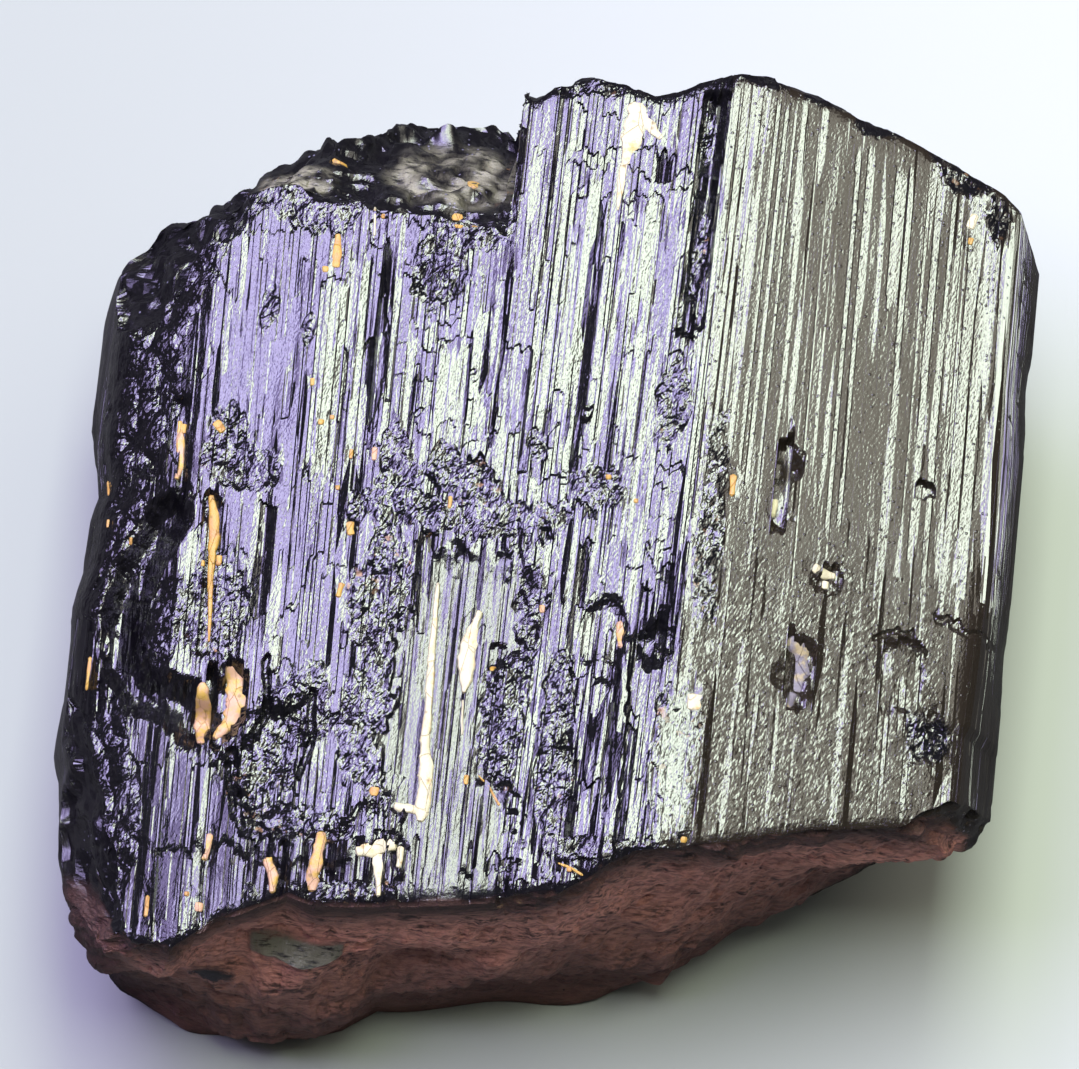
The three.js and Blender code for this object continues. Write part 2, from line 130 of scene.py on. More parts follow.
def along(points: Line, t: Field) -> tuple[Field, Field]:
    """A point at share t of the length of a drawn line.

    Args:
        points: The line's corners.
        t: Shares of its length, from 0 to 1.

    Returns:
        The two ordinates, each an array like t.
    """
    corners = np.array(points, float)
    lengths = np.concatenate([[0.0], np.cumsum(np.hypot(*np.diff(corners, axis=0).T))])
    reach = np.asarray(t) * lengths[-1]
    return np.interp(reach, lengths, corners[:, 0]), np.interp(reach, lengths, corners[:, 1])


def distance_to(line: Line, x: Field, y: Field) -> Field:
    """Distance from each place on the face to the nearest segment of a drawn line.

    Args:
        line: The line's corners.
        x, y: Places on the face.

    Returns:
        The distance at each place.
    """
    nearest = np.full(np.shape(x), np.inf)
    for (x0, y0), (x1, y1) in zip(line, line[1:]):
        dx, dy = x1 - x0, y1 - y0
        t = np.clip(((x - x0) * dx + (y - y0) * dy) / (dx * dx + dy * dy), 0.0, 1.0)
        nearest = np.minimum(nearest, np.hypot(x - x0 - t * dx, y - y0 - t * dy))
    return nearest


def cells(across: Field, width: float, seed: float) -> tuple[Field, Field, Field]:
    """Uneven strips side by side: which strip each place is in, and where.

    Args:
        across: Places across the strips, in mm.
        width: Mean width of a strip, in mm.
        seed: Which scatter moves the strips' edges.

    Returns:
        The strip's number, the place inside it from its left edge, and its width.
    """
    def knot(n: Field) -> Field:
        """The left edge of strip n."""
        return (n + 0.5 + EDGE_SPREAD * scatter(n, 0, seed)) * width

    cell = np.floor(across / width)
    first = np.where(across < knot(cell), cell - 1, cell)
    start = knot(first)
    return first, across - start, knot(first + 1) - start


def ledges(value: Field, rise: float) -> Field:
    """A slope cut partly into steps, level for most of each rise and steep in its last third.

    Args:
        value: The slope's heights; near zero it stays whole.
        rise: The height of a step.

    Returns:
        The stepped heights.
    """
    whole = np.floor(value / rise)
    stepped = (whole + smooth(0.66, 1.0, value / rise - whole)) * rise
    return mix(value, stepped, 0.3 * smooth(0.1, 0.3, np.abs(value)))


def foil(x: Field, y: Field, size: float, tilt: Field, seed: float) -> Field:
    """Crumpled foil: the upper envelope of tilted, domed flakes, one for each of the scattered points around.

    A flake's height is its lift, plus its slopes times the way from its middle, less that way squared.

    Args:
        x, y: Places on the face.
        size: Mean width of a flake, in mm.
        tilt: The steepest slope of a flake's middle across; it is half as steep along.
        seed: Which scatter moves and tilts the flakes.

    Returns:
        The height of the foil at each place, in mm.
    """
    u, v = x / size, y / size
    i, j = np.floor(u), np.floor(v)
    height = np.full(np.shape(u), -np.inf)
    for di in (-1.0, 0.0, 1.0):
        for dj in (-1.0, 0.0, 1.0):
            column, row = i + di, j + dj
            across = u - column - 0.5 - FLAKE_SPREAD * scatter(column, row, seed)
            up = v - row - 0.5 - FLAKE_SPREAD * scatter(column, row, seed + 1.7)
            slope = scatter(column, row, seed + 3.1) * across + 0.5 * scatter(column, row, seed + 4.3) * up
            lift = FLAKE_LIFT * scatter(column, row, seed + 6.9)
            height = np.maximum(height, lift + slope - FLAKE_DOME * (across * across + up * up))
    return size * tilt * height


def ridges(across: Field, y: Field, order: "Order") -> Field:
    """Long flat-sided ridges: heights at uneven knots across, joined by straight facets.

    Args:
        across: Places across the ridges.
        y: Places along them, where the knots' heights change slowly.
        order: The ridges' mean width and length, and their seed.

    Returns:
        The heights, from -1 to 1.
    """
    first, place, wide = cells(across, order.width, order.seed)
    left = lumps(first * 7.31, y / order.length, order.seed * 11.7)
    right = lumps((first + 1) * 7.31, y / order.length, order.seed * 11.7)
    return mix(left, right, place / wide)


# The crystal's form, with the driving dimensions of the solid, and two edges closer to the photograph

@dataclass(frozen=True)
class Order:
    """One order of ridges or laths of the striation: mean width, length and height, and its seed."""

    width: float
    length: float
    height: float
    seed: float


@dataclass(frozen=True)
class Pit:
    """A pit in the face: its place, half sizes, depth, wall, how far it runs out, and how ragged it is."""

    x: float
    y: float
    rx: float
    ry: float
    depth: float
    wall: tuple[float, float] = (0.72, 1.05)
    run_out: float = 0.0
    ragged: float = 1.0

    def share(self, x: Field, y: Field, edge: Field) -> Field:
        """1 on the pit's floor and 0 outside it; a pit that runs out has no lower wall.

        Args:
            x, y: Places on the face.
            edge: How far the outline is swollen at each place, about 1.

        Returns:
            The share, from 0 to 1.
        """
        up = (y - self.y) / self.ry
        if self.run_out:
            up = np.maximum(up, 0.0)
        reach = np.hypot((x - self.x) / self.rx, up) / edge
        inside = 1.0 - smooth(*self.wall, reach)
        if self.run_out:
            inside = inside * (1.0 - smooth(0.0, self.run_out, self.y - y))
        return inside


@dataclass(frozen=True)
class Groove:
    """A groove along a drawn line, or a ridge where its depth is below zero."""

    line: Line
    half: float
    depth: float
    wall: tuple[float, float] = (0.3, 1.3)
    notched: bool = True


@dataclass(frozen=True)
class Terrace:
    """Everything below a drawn line, seen on the face, lies lower by the drop."""

    line: Line
    drop: float


@dataclass(frozen=True)
class Break:
    """A flat break that takes a corner off: outward normal, a point of the plane, and its roughness."""

    normal: tuple[float, float, float]
    through: tuple[float, float, float]
    rough: float
    left: float = -60.0
    right: float = 60.0


class Facing(Enum):
    """Which way a strip of the face is turned, as its slope from the facet it lies on."""

    LEVEL = 0.125
    ALONG = 0.0
    DIM = 0.25
    DUSK = -0.18
    STEEP = -0.38


@dataclass(frozen=True)
class Strip:
    """A strip of the striation that stands out: its edges across and along, and the way it faces."""

    left: float
    right: float
    low: float
    high: float
    facing: Facing = Facing.LEVEL


@dataclass(frozen=True)
class Patch:
    """A soft-edged oval patch of the face."""

    x: float
    y: float
    rx: float
    ry: float

    def share(self, x: Field, y: Field, wobble: Field) -> Field:
        """1 inside the patch and 0 outside, with an uneven edge."""
        reach = np.hypot((x - self.x) / self.rx, (y - self.y) / self.ry)
        return 1.0 - smooth(0.65, 1.1, reach + wobble)


def patches(*rows: tuple[float, float, float, float]) -> tuple[Patch, ...]:
    """Patches from rows of x, y and the two half sizes."""
    return tuple(Patch(*row) for row in rows)


def strips(*rows: tuple) -> tuple[Strip, ...]:
    """Strips from rows of left, right, low and high, and the way it faces where it isn't level."""
    return tuple(Strip(*row) for row in rows)


def largest(shapes: tuple[Patch, ...], x: Field, y: Field, wobble: Field) -> Field:
    """The largest share of several patches at each place."""
    return reduce(np.maximum, (shape.share(x, y, wobble) for shape in shapes))


@dataclass(frozen=True)
class Form:
    """The crystal's cross-section, broken ends, pits, grooves, terraces and breaks, in mm."""

    crest: tuple[float, float] = (13.5, 48.0)
    front_side: Line = ((-42.4, 38.4), (-34.0, 42.3), (13.5, 48.0), (41.5, 44.4))
    back_side: Line = ((-30.0, -0.8), (13.0, -0.8))
    left_side: Line = ((-30, -0.8), (-38, 5), (-43, 16), (-44.4, 25), (-43.8, 33), (-42.4, 38.4))
    right_side: Line = ((13, -0.8), (30, 11), (43, 26), (45.2, 35), (41.5, 44.4))
    lower_rim: Line = (
        (-44, -37), (-41.5, -42), (-38, -46), (-32, -46.5), (-27.8, -43.2), (-21.3, -40.3), (-18.5, -41),
        (-6, -40), (5.4, -38.3), (12, -33.7), (17, -32.9), (24.4, -30.7), (29, -29.5), (45, -26.8),
    )
    lower_foot: Line = (
        (-44, -36), (-39.3, -42.9), (-37.4, -44.4), (-32, -45.5), (-27.2, -47), (-22.5, -47.8),
        (-17.7, -46.7), (-14.9, -45.6), (-11.6, -42.9), (-1.3, -40.9), (4.6, -40), (9.9, -38.9),
        (15.7, -36.6), (22.7, -32), (35, -27), (45, -24),
    )
    foot_zone: tuple[float, float] = (14, 38)
    upper_rim: Line = (
        (-44.4, 20), (-43.6, 23.0), (-42, 24.3), (-39.4, 26.1), (-36.6, 28.0), (-33.9, 30.8), (-31.8, 35.2),
        (-29.8, 37.2), (-25, 38.3), (-20.5, 40.2), (-18.5, 41.9), (-13, 42.9), (-9, 43.4), (-7.4, 42.4),
        (-6.4, 40.2), (-5.4, 39.7), (-3.9, 41.0), (-0.4, 42.2), (1.5, 42.1), (3.5, 41.5), (5.4, 40.8),
        (7.3, 41.3), (9.2, 42.4), (13, 43.7), (16.8, 43.8), (18.7, 42.8), (22.7, 42.2), (24.7, 41.3),
        (28.8, 40.3), (34.3, 38.1), (39.1, 36.0), (42.3, 34.8), (45.5, 30),
    )
    left_profile: Line = (
        (-47, -0.3), (-42.9, -0.3), (-40.5, 0.7), (-35, 0.7), (-28.3, 0.5), (-25.9, -0.1), (-21, -0.5),
        (-12.5, -0.5), (-10.5, -0.1), (-8.8, 0.3), (-3.9, 0.3), (-1.5, 0.85), (1, 0.4), (3.4, 0),
    )
    right_profile: Line = (
        (-30, -0.5), (-18.4, -0.6), (-17.2, -0.1), (-15, 0), (-5, 0.35), (10, 0.3), (16, 0),
    )
    profile_zone: tuple[float, float] = (0.88, 1.0)
    upper_lean: float = 2.0
    edge_sharpness: int = 48
    face_zone: tuple[float, float] = (0.5, 0.95)
    side_zone: tuple[float, float] = (0.6, 0.97)
    end_lump: tuple[float, float] = (1.6, 8.0)
    calm_rim: tuple[float, float] = (30.0, 42.0)
    side_lump: tuple[float, float] = (0.9, 9.0)
    back_hollow: tuple[float, float, float] = (2.4, 10.0, 0.25)
    flat_middle: float = 8.0
    notch_width: float = 0.85
    notch_jump: float = 1.0
    ledge_rise: float = 0.36
    side_orders: tuple[Order, ...] = (
        Order(3.7, 26, 0.75, 1), Order(1.7, 15, 0.3, 21), Order(0.8, 9, 0.13, 22), Order(0.4, 6, 0.06, 23),
    )
    pits: tuple[Pit, ...] = (
        Pit(6.1, -12.2, 2.9, 3.2, 0.55, (0.5, 1.1), 7.0, 0.25), Pit(11.2, -13.2, 1.7, 2.6, 1.3, (0.1, 1.2)),
        Pit(21.9, 4.3, 1.1, 5.4, 1.5), Pit(24.7, -14.2, 1.9, 3.9, 1.0, (0.6, 1.0)),
        Pit(26.9, -5.3, 1.3, 1.5, 0.6), Pit(37.9, -19.3, 2.5, 2.8, 0.8, (0.1, 1.1)),
        Pit(34.6, -12.2, 2.2, 2.8, 0.6, run_out=9.0), Pit(35.1, 4.5, 0.8, 1.0, 0.9),
        Pit(-28.5, -22.4, 2.6, 4.4, 2.0, (0.6, 1.0)), Pit(-12.6, 20.6, 1.9, 4.0, 0.5, (0.0, 1.3)),
        Pit(-29.6, -12.5, 3.6, 5.6, 0.5, (0.1, 1.3)), Pit(-23.2, -27.2, 3.9, 5.8, 1.0, (0.5, 1.1)),
        Pit(-14.6, -12.0, 2.2, 6.0, 0.4, (0.1, 1.3)), Pit(-1.2, -14.5, 2.2, 8.5, 0.3, (0.1, 1.3)),
        Pit(-2.8, -24.2, 2.0, 5.2, 0.3, (0.1, 1.3)), Pit(3.2, -26.5, 2.4, 8.0, 0.4, (0.1, 1.3)),
        Pit(13.8, -24.0, 2.6, 8.5, 0.35, (0.1, 1.3)), Pit(-3.5, -15.6, 0.7, 1.6, 0.5),
        Pit(-30.4, 2.4, 1.6, 3.4, 0.6, (0.2, 1.2)), Pit(-3.9, 23.0, 1.3, 2.4, -0.12, (0.2, 1.1)),
        Pit(2.4, 8.4, 0.7, 0.9, -0.4, (0.3, 1.0)), Pit(6.9, -18.6, 1.5, 1.4, -0.18, (0.4, 1.05), 12.0),
        Pit(27.9, 39.9, 2.2, 1.1, 0.3, (0.0, 1.3)), Pit(33.3, 38.2, 0.8, 1.6, 0.2, (0.0, 1.3)),
        Pit(36.6, 35.9, 2.2, 1.5, 0.4, (0.0, 1.3)), Pit(39.8, 32.2, 0.7, 1.9, 0.25, (0.0, 1.3)),
        Pit(16.8, 43.2, 2.6, 1.0, 0.5, (0.0, 1.3)),
    )
    recess_left: Line = (
        (-50, -9.6), (-38.7, -10.0), (-30.1, -11.4), (-28.7, -12.8), (-24.2, -13.3), (-21, -12.4),
        (-14.3, -12.8), (-11.6, -11.3), (-5.5, -11.7),
    )
    recess_right: Line = (
        (-50, -1.3), (-35.2, -1.3), (-29, -1.5), (-26.3, -4.0), (-20.8, -4.6), (-17, -4.4), (-14.9, -1.7),
        (-5.6, -2.3),
    )
    recess_top: Line = ((-12.4, -6.4), (-10.3, -5.0), (-8, -4.7), (-4.5, -5.0), (-2.3, -5.8), (0.4, -7.9))
    recess_step: float = 0.2
    recess_lath: float = 3.2
    level_fall: float = 0.13
    recess_wall: float = 0.4
    recess_rise: tuple[float, float] = (-2.6, 0.4)
    grooves: tuple[Groove, ...] = (
        Groove(((-35.6, -4.5), (-38.4, -10), (-38.9, -15), (-38.4, -19.2), (-36.3, -21.7), (-32.7, -22.6),
                (-31.0, -24.4)), 2.1, 2.6, (0.1, 1.25), False),
        Groove(((-31.9, -2.3), (-31.3, -6.5), (-30.6, -16.5)), 0.7, 0.7),
        Groove(((-35.6, 6), (-34.7, -2)), 0.9, 0.9),
        Groove(((11.9, 40), (11.5, 28), (11.2, 18)), 1.2, 1.5),
        Groove(((8.5, -13.4), (8.8, -36)), 0.75, -0.7, notched=False),
        Groove(((-24, 2), (-22.5, 20)), 3.0, -0.25, (0.1, 1.4), False),
        Groove(((-4, -36), (-3.4, -28)), 0.8, -0.4),
        Groove(((31.8, -10.2), (33.2, -9.4), (35.0, -9.3), (36.6, -11.1)), 0.3, 0.3, notched=False),
        Groove(((37.4, -7.2), (40.6, -8.4), (43, -8.8)), 0.35, 0.3, notched=False),
        Groove(((-27.3, -27.2), (-26.4, -31), (-25.6, -34)), 0.5, 0.7, notched=False),
        Groove(((-24.9, -18), (-24.2, -22.8), (-25.3, -25)), 0.35, 0.6, notched=False),
        Groove(((-20.2, -20.5), (-19.8, -25), (-20.6, -28.5)), 0.3, 0.6, notched=False),
        Groove(((-17.9, 24.5), (-17.4, 12), (-17.6, 4)), 0.35, 0.6),
        Groove(((-25.5, 21), (-25.8, 6)), 0.2, 0.1),
        Groove(((-2.4, 41), (-2.6, 20), (-2.9, 2)), 0.25, 0.3),
    )
    terraces: tuple[Terrace, ...] = (
        Terrace(((-46, -20), (-36, -22), (-31, -25), (-27.3, -28), (-25.6, -34), (-21.4, -34.5),
                 (-16.5, -33.1), (-14.1, -30.9), (-12.5, -30.5), (-10, -50)), 0.34),
        Terrace(((-46, -38), (-28, -35.6), (-26.1, -35.3), (-22.7, -36.8), (-16.5, -36.4), (-13.7, -34.6),
                 (-10.8, -33.4), (-9.5, -34.8), (-8.7, -50)), 0.25),
    )
    breaks: tuple[Break, ...] = (
        Break((-0.7, 0.325, 0.636), (-36.3, 18.5, 41.6), 0.9),
        Break((0, 0.76, 0.65), (-15, 27.5, 43.6), 0.8, right=-6.2),
        Break((-0.5, 0.74, 0.45), (-30.3, 27.5, 41.8), 0.8, right=-14),
        Break((0.72, 0.6, 0.35), (43.4, 32.6, 41.6), 0.3, left=20),
        Break((-0.86, -0.2, 0.47), (-41.4, -25, 38), 0.6, right=0),
        Break((-0.6, -0.7, 0.39), (-40.4, -42.6, 36), 0.6, right=0),
        Break((0.6, -0.75, 0.28), (42.5, -25.4, 38), 0.5, left=20),
        Break((-0.7, 0.7, 0.14), (-6.2, 40.0, 46.0), 0.3, left=-9.0),
    )
    window: tuple[float, float] = (-19.4, 5.0)
    window_step: float = 2.0
    window_level: float = 31.0
    small_window: tuple[float, float, float, float] = (-27.3, 25.0, 2.3, 1.8)

    def window_share(self, x: Field) -> Field:
        """How far the coat of the lower end stands out below the window: a lens over its width."""
        middle, half = self.window
        return np.clip(1.0 - ((x - middle) / half) ** 2, 0.0, 1.0)

    def facet(self, x: Field) -> Field:
        """Height of the plain front facets at x, before any ridge or pit."""
        return line_at(self.front_side, x)

    def section(self, across: Field, deep: Field) -> list[Field]:
        """The cross-section, blended from its four sides as a Coons patch.

        Args:
            across: 0 at the left to 1 at the right.
            deep: 0 at the back to 1 at the front.

        Returns:
            The x and z of each place.
        """
        back, front = along(self.back_side, across), along(self.front_side, across)
        left, right = along(self.left_side, deep), along(self.right_side, deep)
        places = []
        for axis in (0, 1):
            behind = mix(self.back_side[0][axis], self.back_side[1][axis], across)
            ahead = mix(self.front_side[0][axis], self.front_side[-1][axis], across)
            sides = mix(left[axis], right[axis], across)
            places.append(mix(back[axis], front[axis], deep) + sides - mix(behind, ahead, deep))
        return places

    def ends(self, x: Field, z: Field) -> tuple[Field, Field]:
        """Where the crystal's lower and upper ends are.

        Args:
            x, z: Places on the cross-section.

        Returns:
            The y of the lower end and of the upper end.
        """
        height, spacing = self.end_lump
        height = height * (1.0 - smooth(*self.calm_rim, z))
        lower = mix(line_at(self.lower_foot, x), line_at(self.lower_rim, x), smooth(*self.foot_zone, z))
        lower = lower + height * lumps(x / spacing, 3.0, z / spacing)
        below = self.window_level - z
        under = smooth(-0.3, 0.3, below) * (1.0 - smooth(3.0, 17.0, below))
        lower = lower - self.window_step * self.window_share(x) * under
        upper = line_at(self.upper_rim, x) + height * lumps(x / spacing, 5.0, z / spacing)
        return lower, upper - self.upper_lean * (1.0 - smooth(0, self.crest[1], z))

    def swell(self, ra: Field, y: Field, z: Field) -> Field:
        """How far the two long sides stand out in lumps and long ridges.

        Args:
            ra: Places across the rounded block, from -1 to 1.
            y, z: Places up the crystal and out of it.

        Returns:
            The distance in mm.
        """
        height, spacing = self.side_lump
        lump = height * lumps(z / spacing, y / spacing, ra)
        return lump + sum(order.height * ridges(z + 100.0, y, order) for order in self.side_orders)

    def profile(self, ra: Field, y: Field) -> Field:
        """How far the outline of each long side is moved to the right, near its edge."""
        left = smooth(*self.profile_zone, -ra) * line_at(self.left_profile, y)
        return left + smooth(*self.profile_zone, ra) * line_at(self.right_profile, y)

    def dents(self, x: Field, y: Field) -> Field:
        """How deep the hollows of the back are, away from the flat middle that the crystal rests on."""
        depth, spacing, level = self.back_hollow
        hollow = depth * np.maximum(0.0, lumps(x / spacing, y / spacing, 9.3) - level)
        return hollow * smooth(self.flat_middle, 2 * self.flat_middle, np.hypot(x, y))

    def rounded(self, a: Field, b: Field, c: Field) -> tuple[Field, Field, Field]:
        """A rounded block: a cube's surface point, drawn in by the p-norm where the cube has an edge.

        Args:
            a, b, c: Places on the cube's surface, from -1 to 1 each way.

        Returns:
            The places on the rounded block.
        """
        power = self.edge_sharpness
        shrink = (np.abs(a) ** power + np.abs(b) ** power + np.abs(c) ** power) ** (-1.0 / power)
        return a * shrink, b * shrink, c * shrink

    def hollows(self, x: Field, y: Field, across: Field) -> Field:
        """How far the pits, grooves, recess and terraces lower the face at each place.

        Their outlines follow narrow laths, each moved up or down a little, and their walls fall in ledges.

        Args:
            x, y: Places on the face.
            across: Where they fall across the striation.

        Returns:
            The height to add, mostly below zero.
        """
        first, place, wide = cells(across, self.notch_width, 31.0)
        notched_x = x + 0.85 * (wide / 2.0 - place)
        jump = self.notch_jump * scatter(first, 1.0, 31.0)
        uneven = 0.45 * lumps(across * 1.9, y * 0.8, 8.8)
        depth = np.zeros(np.shape(x))
        plain = np.zeros(np.shape(x))
        for pit in self.pits:
            edge = 1.0 + 0.2 * lumps(x * 0.7, y * 0.6, pit.x)
            moved = y + pit.ragged * (uneven + jump * min(1.0, pit.ry / 5.0))
            depth += pit.depth * pit.share(mix(x, notched_x, pit.ragged), moved, edge)
        for groove in self.grooves:
            rough = (notched_x, y + uneven + 0.5 * jump) if groove.notched else (x + 0.5 * uneven, y + uneven)
            near = distance_to(groove.line, *rough) / groove.half
            drop = groove.depth * (1.0 - smooth(*groove.wall, near))
            if groove.notched:
                depth += drop
            else:
                plain += drop
        for terrace in self.terraces:
            edge = line_at(terrace.line, x) + 0.5 * lumps(x * 0.9, 7.7, 1.2)
            lip = y + 0.6 * jump + uneven - edge
            depth += terrace.drop * (1.0 - smooth(-1.1, 0.3, lip)) * (1.0 + 0.6 * lumps(x * 0.5, 3.3, 5.2))
        depth = ledges(depth * (1.0 + 0.2 * lumps(x * 0.8, y * 0.4, 2.7)), self.ledge_rise) + plain
        return -depth - self.recess_drop(x, y) * self.in_recess(x, y, *self.recess_rise)

    def recess_drop(self, x: Field, y: Field) -> Field:
        """How deep the recess is: a low step, then laths that each fall from the facet to lie level."""
        _, place, _ = cells(x - 0.02 * y, self.recess_lath, 17.0)
        return self.recess_step + self.level_fall * place

    def in_recess(self, x: Field, y: Field, low: float = -0.4, high: float = 0.4) -> Field:
        """1 on the floor of the long recess down the middle of the face, and 0 outside it.

        Args:
            x, y: Places on the face.
            low, high: Where its right wall begins and ends, in mm leftwards of the drawn line.

        Returns:
            The share, from 0 to 1.
        """
        wall = self.recess_wall
        uneven = 0.35 * lumps(x * 0.9, y * 0.7, 0.4)
        ragged = uneven + 0.5 * lumps(x * 1.9, y * 1.1, 3.1)
        from_left = x + 1.6 * ragged - line_at(self.recess_left, y)
        from_right = line_at(self.recess_right, y) - x + ragged
        from_top = line_at(self.recess_top, x) - y + uneven
        inside = smooth(-2.0 * wall, wall, from_left) * smooth(low, high, from_right)
        return inside * smooth(-wall, 3.5, from_top + 2.0 * ragged)

    def break_off(self, points: np.ndarray, flat: Break) -> tuple[np.ndarray, np.ndarray]:
        """Moves points that stand outside a flat break onto it.

        Args:
            points: One row of x, y and z for each point.
            flat: The break.

        Returns:
            The points, and how far each one was moved.
        """
        beyond, within = points[:, 0] - flat.right, points[:, 0] - flat.left
        past = smooth(-0.6, 0.6, beyond) + 1.0 - smooth(-0.6, 0.6, within)
        normal = np.array(flat.normal)
        bumps = flat.rough * (lumps(*(points.T / 3.5)) + 0.5 * lumps(*(points.T / 1.5)))
        reach = (points - np.array(flat.through)) @ normal - bumps - 40.0 * past
        moved = np.maximum(reach, 0.0)
        return points - moved[:, None] * normal, moved


